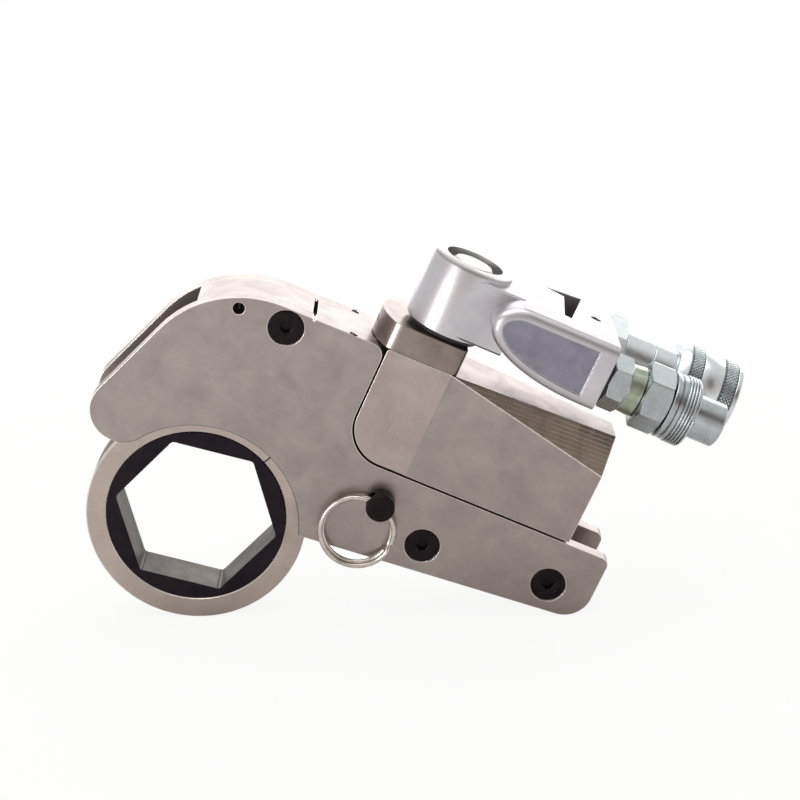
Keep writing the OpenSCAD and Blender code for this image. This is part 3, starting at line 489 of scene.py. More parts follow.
def broken(node, finishes, edge, sort=None, angle=SHARP, keep=None, first=None, cuts=(), trim=None):
    """Copy of a solid with its edges broken. The last finish is the one of the edges.

    All rules work in the tool's frame. Sort picks a face's finish from its middle and normal.
    Keep names the edges that stay sharp. First is a rule, a size and a number of steps for edges
    that are rounded more, before the others. Cuts are planes, each a point and a normal, that split
    faces at the start, and trim moves points after them.
    """
    def middle(line):
        return UNTOOL @ ((line.verts[0].co + line.verts[1].co) / 2)

    bm = bmesh.new()
    bm.from_mesh(frame["nodes"][node].data)
    bmesh.ops.remove_doubles(bm, verts=bm.verts, dist=WELD)
    bmesh.ops.dissolve_limit(
        bm, angle_limit=math.radians(FLAT), use_dissolve_boundaries=False,
        verts=bm.verts, edges=bm.edges, delimit=set(),
    )
    for place, normal in cuts:
        bmesh.ops.bisect_plane(
            bm, geom=bm.verts[:] + bm.edges[:] + bm.faces[:], dist=WELD,
            plane_co=TOOL @ Vector(place), plane_no=TOOL.to_3x3() @ Vector(normal),
        )
    if trim:
        for point in bm.verts:
            point.co = TOOL @ trim(UNTOOL @ point.co)
    sharp = math.radians(angle)
    if first:
        rule, size, steps = first
        lines = [line for line in bm.edges if line.calc_face_angle(0.0) > sharp and rule(middle(line))]
        if not lines:
            raise RuntimeError("no edge to round on " + node)
        bmesh.ops.bevel(bm, geom=lines, offset=size, segments=steps, profile=0.5, affect="EDGES")
    turn = UNTOOL.to_3x3().normalized()
    for face in bm.faces:
        face.smooth = True
        face.material_index = 0
        if sort:
            face.material_index = sort(UNTOOL @ face.calc_center_median(), turn @ face.normal)
    weight = bm.edges.layers.float.new("bevel_weight_edge")
    for line in bm.edges:
        if line.calc_face_angle(0.0) > sharp:
            line[weight] = 0.0 if keep and keep(middle(line)) else 1.0
            line.smooth = line[weight] > 0
    mesh = mesh_of(bm, node + "_sharp")
    old = mesh.attributes.get("custom_normal")
    if old:
        mesh.attributes.remove(old)
    for _ in finishes:
        mesh.materials.append(None)
    obj = placed(node + "_sharp", mesh)
    bevel = obj.modifiers.new("Edges", "BEVEL")
    bevel.width = edge
    bevel.segments = 2
    bevel.limit_method = "WEIGHT"
    bevel.use_clamp_overlap = False
    bevel.harden_normals = True
    bevel.material = len(finishes) - 1
    return piece(plain_mesh(obj, node + "_dressed"), node, finishes)


def eased(name, *nodes):
    """Small parts in one finish, with finely broken edges."""
    for node in nodes:
        broken(node, (name, name), sizes().fine_edge)


def refinish(name, *nodes):
    """Gives solids that keep their shape a worked finish."""
    for node in nodes:
        for slot in frame["nodes"][node].material_slots:
            slot.material = look(name)


def skinned(rings, closed=False, marked=()):
    """Skin over rings of points, closed on itself or with flat ends.

    Marked lists the strips of the section that take the second finish.
    """
    bm = bmesh.new()
    loops = [[bm.verts.new(point) for point in ring] for ring in rings]
    pairs = list(zip(loops, loops[1:]))
    if closed:
        pairs.append((loops[-1], loops[0]))
    else:
        bm.faces.new(loops[0])
        bm.faces.new(loops[-1])
    count = len(loops[0])
    for one, two in pairs:
        for k in range(count):
            j = (k + 1) % count
            face = bm.faces.new((one[k], one[j], two[j], two[k]))
            face.material_index = 1 if k in marked else 0
    bmesh.ops.remove_doubles(bm, verts=bm.verts, dist=1e-5)
    bmesh.ops.recalc_face_normals(bm, faces=bm.faces)
    return bm


def spun(profile, closed=False, sides=96):
    """Skin turned about the x axis from (x, radius) points, each a number or a rule of the angle."""
    def at(value, a):
        return value(a) if callable(value) else value

    angles = [TURN * k / sides for k in range(sides)]
    return skinned([
        [(at(x, a), at(r, a) * math.sin(a), at(r, a) * math.cos(a)) for a in angles]
        for x, r in profile
    ], closed)


def smooth_mesh(bm, name, matrix, angle=30):
    """Mesh in the model's frame with smooth rounds and crisp edges."""
    bm.transform(matrix)
    if matrix.determinant() < 0:
        bmesh.ops.reverse_faces(bm, faces=bm.faces)
    mesh = mesh_of(bm, name)
    mesh.shade_smooth()
    mesh.set_sharp_from_angle(angle=math.radians(angle))
    return mesh


def hex_radius(af, turn=0.0):
    """Radius of a hexagon bar at an angle, with a corner turned from the top to the near side."""
    return lambda a: af / 2 / math.cos(((a + turn + 1e-9) % (TURN / 6)) - TURN / 12)


def hex_ends(x0, x1, af, turn, face_r, slope=0.5):
    """Points of a hexagon whose corners are chamfered at both ends."""
    flat = hex_radius(af, turn)
    return [
        (x0, face_r),
        (lambda a: x0 + (flat(a) - face_r) * slope, flat),
        (lambda a: x1 - (flat(a) - face_r) * slope, flat),
        (x1, face_r),
    ]


def node_tree(name, sockets):
    """Geometry node tree with its named inputs, its group input node and their identifiers."""
    tree = bpy.data.node_groups.new(name, "GeometryNodeTree")
    keys = {}
    for label, kind in sockets:
        keys[label] = tree.interface.new_socket(
            label, in_out="INPUT", socket_type="NodeSocket" + kind
        ).identifier
    tree.interface.new_socket("Geometry", in_out="OUTPUT", socket_type="NodeSocketGeometry")
    return tree, add(tree, "NodeGroupInput").outputs, keys


def end_tree(tree, geometry, material):
    """Closes a tree with plain geometry and its material."""
    real = add(tree, "GeometryNodeRealizeInstances", {"Geometry": geometry})
    done = add(tree, "GeometryNodeSetMaterial", {"Geometry": real, "Material": material})
    add(tree, "NodeGroupOutput", {"Geometry": done})


def grown(name, tree, keys, values, matrix, base=None):
    """Plain mesh that a tree makes from its values, moved into the model's frame."""
    obj = placed(name + "_nodes", base or bpy.data.meshes.new(name + "_base"))
    modifier = obj.modifiers.new("Nodes", "NODES")
    modifier.node_group = tree
    for label, value in values.items():
        modifier[keys[label]] = value
    mesh = plain_mesh(obj, name)
    if not mesh.polygons:
        raise RuntimeError(name + " came out empty")
    mesh.transform(matrix)
    return mesh


def screw_tree():
    """One screw at each point."""
    tree, given, keys = node_tree("Screws at points", (
        ("Points", "Geometry"), ("Screw", "Object"), ("Material", "Material"),
    ))
    screw = add(tree, "GeometryNodeObjectInfo", {"Object": given["Screw"]})
    copies = add(tree, "GeometryNodeInstanceOnPoints", {
        "Points": given["Points"], "Instance": screw.outputs["Geometry"],
    })
    end_tree(tree, copies, given["Material"])
    return tree, keys


def knurl_tree():
    """Rows of diamonds round a cylinder along x, every second row half a step on."""
    tree, given, keys = node_tree("Diamond knurl", (
        ("Radius", "Float"), ("Start", "Float"), ("Row step", "Float"), ("Rows", "Int"),
        ("Round", "Int"), ("Height", "Float"), ("Half width", "Float"), ("Half top", "Float"),
        ("Material", "Material"),
    ))
    count = add(tree, "ShaderNodeMath", {0: given["Rows"], 1: given["Round"]}, operation="MULTIPLY")
    points = add(tree, "GeometryNodePoints", {"Count": count})
    index = add(tree, "GeometryNodeInputIndex")
    share = add(tree, "ShaderNodeMath", {0: index, 1: given["Round"]}, operation="DIVIDE")
    row = add(tree, "ShaderNodeMath", {0: share}, operation="FLOOR")
    odd = add(tree, "ShaderNodeMath", {0: row, 1: 2.0}, operation="MODULO")
    step = add(tree, "ShaderNodeMath", {0: odd, 1: 0.5, 2: index}, operation="MULTIPLY_ADD")
    part = add(tree, "ShaderNodeMath", {0: step, 1: given["Round"]}, operation="DIVIDE")
    angle = add(tree, "ShaderNodeMath", {0: part, 1: TURN}, operation="MULTIPLY")
    along = add(tree, "ShaderNodeMath", {
        0: row, 1: given["Row step"], 2: given["Start"],
    }, operation="MULTIPLY_ADD")
    sine = add(tree, "ShaderNodeMath", {0: angle}, operation="SINE")
    cosine = add(tree, "ShaderNodeMath", {0: angle}, operation="COSINE")
    y = add(tree, "ShaderNodeMath", {0: sine, 1: given["Radius"]}, operation="MULTIPLY")
    z = add(tree, "ShaderNodeMath", {0: cosine, 1: given["Radius"]}, operation="MULTIPLY")
    place = add(tree, "ShaderNodeCombineXYZ", {"X": along, "Y": y, "Z": z})
    moved = add(tree, "GeometryNodeSetPosition", {"Geometry": points, "Position": place})
    tilt = add(tree, "ShaderNodeMath", {0: angle, 1: -1.0}, operation="MULTIPLY")
    turn = add(tree, "ShaderNodeCombineXYZ", {"X": tilt})
    diamond = add(tree, "GeometryNodeMeshCone", {
        "Vertices": 4, "Radius Top": given["Half top"], "Radius Bottom": given["Half width"],
        "Depth": given["Height"],
    }, fill_type="NGON")
    copies = add(tree, "GeometryNodeInstanceOnPoints", {
        "Points": moved, "Instance": diamond, "Rotation": turn,
    })
    end_tree(tree, copies, given["Material"])
    return tree, keys


def thread_tree():
    """Ridge wound round a cylinder along z."""
    tree, given, keys = node_tree("Thread ridge", (
        ("Radius", "Float"), ("Turns", "Float"), ("Length", "Float"), ("Ridge", "Float"),
        ("Material", "Material"),
    ))
    spiral = add(tree, "GeometryNodeCurveSpiral", {
        "Resolution": 72, "Rotations": given["Turns"], "Start Radius": given["Radius"],
        "End Radius": given["Radius"], "Height": given["Length"],
    })
    upright = add(tree, "GeometryNodeSetCurveNormal", {"Curve": spiral}, mode="Z_UP")
    section = add(tree, "GeometryNodeCurvePrimitiveCircle", {
        "Resolution": 6, "Radius": given["Ridge"],
    }, mode="RADIUS")
    ridge = add(tree, "GeometryNodeCurveToMesh", {
        "Curve": upright, "Profile Curve": section, "Fill Caps": True,
    })
    end_tree(tree, ridge, given["Material"])
    return tree, keys


def row_tree():
    """Cusps beside each other, each shorter than the last, from points on one slanting edge."""
    tree, given, keys = node_tree("Mill rows", (
        ("Rows", "Int"), ("Corner", "Vector"), ("Down", "Vector"), ("Along", "Vector"),
        ("Height", "Float"), ("Material", "Material"),
    ))
    points = add(tree, "GeometryNodePoints", {"Count": given["Rows"]})
    index = add(tree, "GeometryNodeInputIndex")
    after = add(tree, "ShaderNodeMath", {0: index, 1: 1.0}, operation="ADD")
    whole = add(tree, "ShaderNodeMath", {0: given["Rows"], 1: 1.0}, operation="ADD")
    share = add(tree, "ShaderNodeMath", {0: after, 1: whole}, operation="DIVIDE")
    left = add(tree, "ShaderNodeMath", {0: 1.0, 1: share}, operation="SUBTRACT")
    start = add(tree, "ShaderNodeVectorMath", {0: given["Down"], "Scale": share}, operation="SCALE")
    foot = add(tree, "ShaderNodeVectorMath", {0: start, 1: given["Corner"]}, operation="ADD")
    half = add(tree, "ShaderNodeMath", {0: left, 1: 0.5}, operation="MULTIPLY")
    middle = add(tree, "ShaderNodeVectorMath", {0: given["Along"], "Scale": half}, operation="SCALE")
    place = add(tree, "ShaderNodeVectorMath", {0: foot, 1: middle}, operation="ADD")
    moved = add(tree, "GeometryNodeSetPosition", {"Geometry": points, "Position": place})
    reach = add(tree, "ShaderNodeVectorMath", {0: given["Along"]}, operation="LENGTH")
    run = add(tree, "ShaderNodeMath", {0: reach.outputs["Value"], 1: left}, operation="MULTIPLY")
    size = add(tree, "ShaderNodeCombineXYZ", {"X": 1.0, "Y": 1.0, "Z": run})
    aim = add(tree, "FunctionNodeAlignRotationToVector", {"Vector": given["Along"]}, axis="Z")
    cusp = add(tree, "GeometryNodeMeshCylinder", {"Vertices": 6, "Radius": given["Height"], "Depth": 1.0})
    copies = add(tree, "GeometryNodeInstanceOnPoints", {
        "Points": moved, "Instance": cusp, "Rotation": aim, "Scale": size,
    })
    end_tree(tree, copies, given["Material"])
    return tree, keys


class WRENCH_OT_side_plates(bpy.types.Operator):
    """Side plates of the link, with broken edges"""
    bl_idname = "wrench.side_plates"
    bl_label = "Side plates"

    def execute(self, context):
        for node in ("near_side_plate", "far_side_plate"):
            plate = broken(
                node, ("nickel_over_ground_plate", "nickel_in_the_gap", "nickel_rubbed_edge"), sizes().edge
            )
            # Broken edges along the arc where the plates meet the rings take the darker gap nickel: a painted
            # contact shadow
            for face in plate.data.polygons:
                middle = UNTOOL @ face.center
                if face.material_index == 2 and math.hypot(middle.x, middle.z) < RING_OUT + ARC_EDGE:
                    face.material_index = 1
        return {"FINISHED"}


class WRENCH_OT_bearing_rings(bpy.types.Operator):
    """Split bearing rings, the eye between them and their dowels"""
    bl_idname = "wrench.bearing_rings"
    bl_label = "Bearing rings"

    def execute(self, context):
        chamfer = sizes().ring_edge / MM
        half_split = RING_SPLIT / 2 / RING_OUT
        steps = 240
        angles = [
            RING_SPLIT_AT + half_split + (TURN - 2 * half_split) * i / steps for i in range(steps + 1)
        ]
        section = [
            (RING_IN, GUARD_Y), (RING_IN, RING_Y - chamfer), (RING_IN + chamfer, RING_Y),
            (RING_OUT - chamfer, RING_Y), (RING_OUT, RING_Y - chamfer), (RING_OUT, GUARD_Y),
        ]
        for side, node in ((-1, "near_bearing_ring"), (1, "far_bearing_ring")):
            bm = skinned([
                [(r * math.cos(a), side * y, r * math.sin(a)) for r, y in section] for a in angles
            ], marked=(1, 3))
            mesh = smooth_mesh(bm, node + "_turned", TOOL)
            piece(mesh, node, ("nickel_over_turned_steel", "nickel_rubbed_edge"))
        # The eye between the rings takes the darker gap nickel: painted shade
        refinish("nickel_in_the_gap", "eye_body")
        refinish("ground_steel", "ring_dowels", "link_dowels")
        return {"FINISHED"}


class WRENCH_OT_spacers(bpy.types.Operator):
    """Spacers between the plates and the spring pin"""
    bl_idname = "wrench.spacers"
    bl_label = "Spacers"

    def execute(self, context):
        gap = sizes().spacer_gap / MM / 2
        for node, side in (("front_spacer", -1), ("rear_spacer", 1)):
            def clear(at):
                return at + Vector((side * gap, 0, 0)) if abs(at.x - SPACER_GAP_X) < 1 else at

            broken(node, ("nickel_over_ground_steel", "nickel_rubbed_edge"), sizes().fine_edge, trim=clear)
        broken("tail_spacer", ("nickel_over_ground_steel", "nickel_rubbed_edge"), sizes().edge)
        refinish("black_oxide_on_steel", "spacer_pins")
        return {"FINISHED"}


class WRENCH_OT_plate_screws(bpy.types.Operator):
    """Countersunk socket screws of both plates"""
    bl_idname = "wrench.plate_screws"
    bl_label = "Plate screws"

    def execute(self, context):
        tree, keys = screw_tree()
        head = FACE_Y - SCREW_SINK
        key = hex_radius(SCREW_KEY)
        key_end = -head + 3.0
        mouth = SCREW_KEY / math.sqrt(3) + 0.35
        dish = SCREW_KEY / 2 + 2.4
        sink = SCREW_HEAD_R - SCREW_R
        profile = [
            (key_end, key), (-head + 0.45, key), (-head + 0.12, mouth), (-head + 0.12, dish),
            (-head + 0.02, dish + 0.15), (-head, SCREW_HEAD_R - 0.35), (-head + 0.2, SCREW_HEAD_R),
            (-head + sink, SCREW_R), (-1.0, SCREW_R),
        ]
        for side, node in ((1, "near_plate_screws"), (-1, "far_plate_screws")):
            across = Matrix.Rotation(math.pi / 2, 4, "Z")
            flip = Matrix.Scale(side, 4, (0, 1, 0))
            shape = smooth_mesh(spun(profile), node + "_one", TOOL @ flip @ across)
            one = placed(node + "_one", shape)
            spots = bpy.data.meshes.new(node + "_spots")
            spots.from_pydata([TOOL @ Vector((x, 0, z)) for x, z in SCREW_PLACES], [], [])
            mesh = grown(node + "_set", tree, keys, {
                "Screw": one, "Material": look("black_oxide_on_steel"),
            }, Matrix.Identity(4), spots)
            bpy.data.objects.remove(one)
            piece(mesh, node, ("black_oxide_on_steel",))
        return {"FINISHED"}


class WRENCH_OT_ratchet(bpy.types.Operator):
    """Hexagon ratchet and what drives it"""
    bl_idname = "wrench.ratchet"
    bl_label = "Ratchet and drive"

    def execute(self, context):
        def wall(middle, normal):
            inside = math.hypot(middle.x, middle.z) < HUB_R - HUB_WALL
            return 1 if inside and abs(normal.y) < 0.3 else 0

        def corner(at):
            return abs(math.hypot(at.x, at.z) - SOCKET_R) < 0.5 and abs(at.y) < 3

        broken("hex_ratchet", ("black_phosphate_on_steel", "broached_steel", "black_phosphate_on_steel"),
               sizes().edge, wall, first=(corner, sizes().socket_round, 4))
        eased("ground_steel", "drive_lever", "drive_pawl")
        refinish("drawn_spring_wire", "pawl_spring")
        return {"FINISHED"}


class WRENCH_OT_power_head(bpy.types.Operator):
    """Cylinder block with its milled chamfers, and the piston inside"""
    bl_idname = "wrench.power_head"
    bl_label = "Power head"

    def execute(self, context):
        run = BLOCK_END - CHAMFER_X
        slant = Vector((CHAMFER_DROP * CHAMFER_IN, -CHAMFER_DROP * run, run * CHAMFER_IN)).normalized()

        def chamfer(middle, normal):
            turned = Vector((normal.x, -abs(normal.y), normal.z))
            if turned.dot(slant) > 0.99:
                return 1
            # Faces of the land take the paler nickel: painted reflection
            return 2 if middle.x < LAND_X and abs(normal.y) > 0.9 else 0

        broken("cylinder_block",
               ("nickel_over_ground_steel", "nickel_over_milled_steel", "nickel_over_ground_land",
                "nickel_rubbed_edge"),
               sizes().edge, chamfer,
               keep=lambda at: abs(at.x - LAND_X) < LAND_EDGE and abs(at.y) > LAND_Y)
        tree, keys = row_tree()
        parts = []
        for side in (1, -1):
            flip = Matrix.Scale(side, 4, (0, 1, 0))
            parts.append(grown("mill_rows", tree, keys, {
                "Rows": sizes().rows,
                "Corner": (CHAMFER_X, -FACE_Y, BLOCK_TOP),
                "Down": (run, 0, -CHAMFER_DROP),
                "Along": (run, CHAMFER_IN, 0),
                "Height": sizes().row_height / MM,
                "Material": look("nickel_on_mill_cusps"),
            }, TOOL @ flip))
        bm = bmesh.new()
        for part in parts:
            bm.from_mesh(part)
        bmesh.ops.recalc_face_normals(bm, faces=bm.faces)
        mesh = mesh_of(bm, "chamfer_mill_rows")
        piece(mesh, "cylinder_block", ("nickel_on_mill_cusps",), instead=False)
        eased("ground_steel", "rod_gland", "piston_rod")
        broken("end_cap", ("nickel_over_ground_steel", "nickel_rubbed_edge"), sizes().edge)
        refinish("ground_steel", "rod_pin")
        refinish("moulded_rubber", "rod_seal", "end_cap_seal", "piston_seal")
        return {"FINISHED"}


class WRENCH_OT_swivel_base(bpy.types.Operator):
    """Swivel base, its post, thrust washer and retaining ring"""
    bl_idname = "wrench.swivel_base"
    bl_label = "Swivel base"

    def execute(self, context):
        radius = sizes().base_round / MM
        inner = FACE_Y - radius
        centre = POST_X - math.sqrt((BASE_NOSE_R - radius) ** 2 - inner ** 2)
        start = math.asin(inner / (BASE_NOSE_R - radius))
        cuts = []
        steps = 8
        for k in range(steps):
            y = inner + radius * math.sin(start + (math.pi / 2 - start) * k / steps)
            cuts += [((0, y, 0), (0, 1, 0)), ((0, -y, 0), (0, 1, 0))]

        def nose(at):
            off = abs(at.y) - inner
            if at.x > centre or off < radius * math.sin(start):
                return at
            return Vector((centre - math.sqrt(max(radius ** 2 - off ** 2, 0)), at.y, at.z))

        broken("swivel_base", ("nickel_over_belted_steel", "nickel_over_belted_steel"),
               sizes().edge, cuts=cuts, trim=nose)
        eased("ground_steel", "swivel_post")
        eased("turned_acetal", "thrust_washer")
        eased("drawn_spring_wire", "post_retaining_ring")
        refinish("moulded_rubber", "post_seals")
        return {"FINISHED"}


class WRENCH_OT_manifold(bpy.types.Operator):
    """Swivel manifold with its two lobes, gallery plug and bonded seals"""
    bl_idname = "wrench.manifold"
    bl_label = "Swivel manifold"

    def execute(self, context):
        def panel(middle, normal):
            # Top faces take the faced finish; the band of the barrel's rounded rim takes it too, as painted shade
            if normal.z > 0.95 or middle.z > BARREL_RIM and normal.z > 0.2:
                return 2
            return 1 if PANEL_Y[0] < abs(middle.y) < PANEL_Y[1] and abs(normal.y) > 0.95 else 0

        def neck(at):
            return NECK_X[0] < at.x < NECK_X[1] and abs(at.y) < NECK_Y

        broken("swivel_manifold",
               ("blasted_aluminium", "milled_aluminium", "faced_aluminium", "blasted_aluminium"),
               sizes().edge, panel, angle=40, keep=neck)
        refinish("black_oxide_on_steel", "gallery_plug")
        refinish("moulded_rubber", "near_bonded_seal", "far_bonded_seal")
        return {"FINISHED"}


class WRENCH_OT_adapters(bpy.types.Operator):
    """Hexagon adapters with their passivated collars"""
    bl_idname = "wrench.adapters"
    bl_label = "Adapters"

    def execute(self, context):
        def stem(middle, normal):
            return 1 if STEM_X < middle.x < HEX_X + 0.1 else 0

        # The far adapter takes the paler zinc: painted light
        for node, zinc in (
            ("near_adapter", "zinc_over_turned_steel"), ("far_adapter", "zinc_over_turned_collar"),
        ):
            broken(node, (zinc, "olive_passivate_on_zinc", zinc), sizes().fine_edge, stem)
        return {"FINISHED"}


class WRENCH_OT_male_coupler(bpy.types.Operator):
    """Male coupler with its hexagon, thread and poppet"""
    bl_idname = "wrench.male_coupler"
    bl_label = "Male coupler"

    def execute(self, context):
        root = THREAD_R - 1.1
        neck = THREAD_R - 0.6
        groove = neck - 1.2
        bore, cave, socket = 4.0, 7.5, 8.0
        lip, step, floor = NOSE_END - 4.0, SHOULDER_X - 2.0, HEX_X + 9.0
        profile = [(HEX_X, socket)] + hex_ends(
            HEX_X, SHOULDER_X, BODY_AF, BODY_TURN, BODY_AF / 2 - 0.6
        ) + [
            (SHOULDER_X, neck - 0.4), (SHOULDER_X + 0.4, neck), (SHOULDER_X + 1.6, neck),
            (SHOULDER_X + 2.0, groove), (SHOULDER_X + 2.9, groove), (SHOULDER_X + 3.3, neck),
            (MALE_X - 0.3, neck), (MALE_X + 0.1, root), (NOSE_X - 0.7, root), (NOSE_X, root - 0.7),
            (NOSE_X, NOSE_R + 0.5), (NOSE_X + 0.5, NOSE_R), (NOSE_END - 1.0, NOSE_R),
            (NOSE_END - 0.25, NOSE_R - 0.7), (NOSE_END, NOSE_R - 1.3), (NOSE_END, bore + 0.6),
            (NOSE_END - 0.6, bore), (lip, bore), (lip, cave), (step, cave), (step, bore),
            (floor, bore), (floor, socket),
        ]
        at = Matrix.Translation((0, -PORT_Y, PORT_Z))
        mesh = smooth_mesh(spun(profile, closed=True, sides=144), "near_coupler_turned", TOOL @ at)
        node = "near_coupler_body"
        piece(mesh, node, ("zinc_over_turned_steel",))
        tree, keys = thread_tree()
        pitch = sizes().thread_pitch / MM
        start = MALE_X + 0.5
        run = NOSE_X - 0.9 - start
        along = Matrix.Translation((start, -PORT_Y, PORT_Z)) @ Matrix.Rotation(math.pi / 2, 4, "Y")
        ridge = 0.6
        mesh = grown("near_coupler_thread", tree, keys, {
            "Radius": THREAD_R - ridge, "Turns": run / pitch, "Length": run, "Ridge": ridge,
            "Material": look("zinc_over_turned_steel"),
        }, TOOL @ along)
        piece(mesh, node, ("zinc_over_turned_steel",), instead=False)
        refinish("ground_steel", "near_poppet")
        refinish("drawn_spring_wire", "near_poppet_spring")
        return {"FINISHED"}


class WRENCH_OT_female_coupler(bpy.types.Operator):
    """Female coupler with its knurled collar"""
    bl_idname = "wrench.female_coupler"
    bl_label = "Female coupler"

    def execute(self, context):
        # The far coupler, its collar and knurl take the paler zinc: painted light
        eased("zinc_over_turned_collar", "far_coupler_body")
        node = "coupler_collar"
        height = sizes().knurl_height / MM
        play, sunk = 0.04, 0.02
        root = COLLAR_R - play - height
        waist = COLLAR_R - 0.6
        cave_end = COLLAR_X + 6.0
        bands = ((COLLAR_X + 4.9, COLLAR_X + 12.1), (COLLAR_END - 10.1, COLLAR_END - 2.5))
        profile = [
            (COLLAR_X, SLEEVE_BORE_R), (COLLAR_X, COLLAR_R - 3.0), (COLLAR_X + 2.5, COLLAR_R - 1.5),
            (COLLAR_X + 4.2, COLLAR_R - 0.9), (bands[0][0], root), (bands[0][1], root),
            (bands[0][1] + 0.1, waist - 0.15), (bands[0][1] + 0.4, waist), (bands[1][0] - 0.4, waist),
            (bands[1][0] - 0.1, waist - 0.15), (bands[1][0], root), (bands[1][1], root),
            (bands[1][1] + 0.2, waist), (COLLAR_END - 0.7, waist), (COLLAR_END, COLLAR_R - 1.3),
            (COLLAR_END, COLLAR_CAVE_R + 0.5), (COLLAR_END - 0.5, COLLAR_CAVE_R),
            (cave_end, COLLAR_CAVE_R), (cave_end, SLEEVE_BORE_R),
        ]
        at = Matrix.Translation((0, PORT_Y, PORT_Z))
        mesh = smooth_mesh(spun(profile, closed=True, sides=144), "collar_turned", TOOL @ at)
        for face in mesh.polygons:
            middle = UNTOOL @ face.center
            in_band = any(start < middle.x < end for start, end in bands)
            if in_band and math.hypot(middle.y - PORT_Y, middle.z - PORT_Z) > COLLAR_CAVE_R + 0.5:
                face.material_index = 1
        piece(mesh, node, ("zinc_over_turned_collar", "zinc_in_the_knurl"))
        tree, keys = knurl_tree()
        pitch = sizes().knurl_pitch / MM
        around = round(TURN * COLLAR_R / pitch)
        foot_share, top_share = 0.47, 0.26
        for label, (start, end) in zip(("rear", "front"), bands):
            rows = int((end - start - pitch) / (pitch / 2)) + 1
            slack = (end - start - (rows - 1) * pitch / 2) / 2
            mesh = grown(label + "_knurl", tree, keys, {
                "Radius": root - sunk, "Start": start + slack, "Row step": pitch / 2, "Rows": rows,
                "Round": around, "Height": height + sunk, "Half width": pitch * foot_share,
                "Half top": pitch * top_share, "Material": look("zinc_over_turned_collar"),
            }, TOOL @ at)
            piece(mesh, node, ("zinc_over_turned_collar",), instead=False)
        eased("drawn_spring_wire", "collar_snap_ring")
        refinish("ground_steel", "far_poppet")
        refinish("drawn_spring_wire", "far_poppet_spring")
        return {"FINISHED"}


class WRENCH_OT_release_pin(bpy.types.Operator):
    """Quick-release pin, its ball and the split ring on its head"""
    bl_idname = "wrench.release_pin"
    bl_label = "Release pin"

    def execute(self, context):
        eased("black_oxide_on_steel", "release_pin")
        refinish("ground_steel", "pin_ball")
        across = Vector((0, 1, 0))
        jog = math.radians(9)
        first = math.radians(19) - PITCH
        lift = 0.9 * KEY_WIRE_R
        steps = 240
        sides = 14
        rings = []
        for i in range(steps + 1):
            along = jog + (2 * TURN - 2 * jog) * i / steps
            share = min(max((along - TURN + jog) / (2 * jog), 0), 1)
            rise = lift * (2 * share * share * (3 - 2 * share) - 1)
            a = first + along
            out = Vector((math.cos(a), 0, math.sin(a)))
            # The two turns lie side by side at the pin's hole, and spread away from it
            away = abs((a - KEY_HOLE_AT + math.pi) % TURN - math.pi)
            spread = 0.5 * min(max((away - KEY_CLOSE) / KEY_CLOSE, 0), 1)
            middle = Vector(KEY_RING_C) + (KEY_RING_R - spread * rise) * out + rise * across
            rings.append([
                middle + KEY_WIRE_R * (math.cos(b) * out + math.sin(b) * across)
                for b in (TURN * k / sides for k in range(sides))
            ])
        mesh = smooth_mesh(skinned(rings), "split_ring_wire", TOOL, 50)
        piece(mesh, "pin_split_ring", ("drawn_spring_wire",))
        return {"FINISHED"}


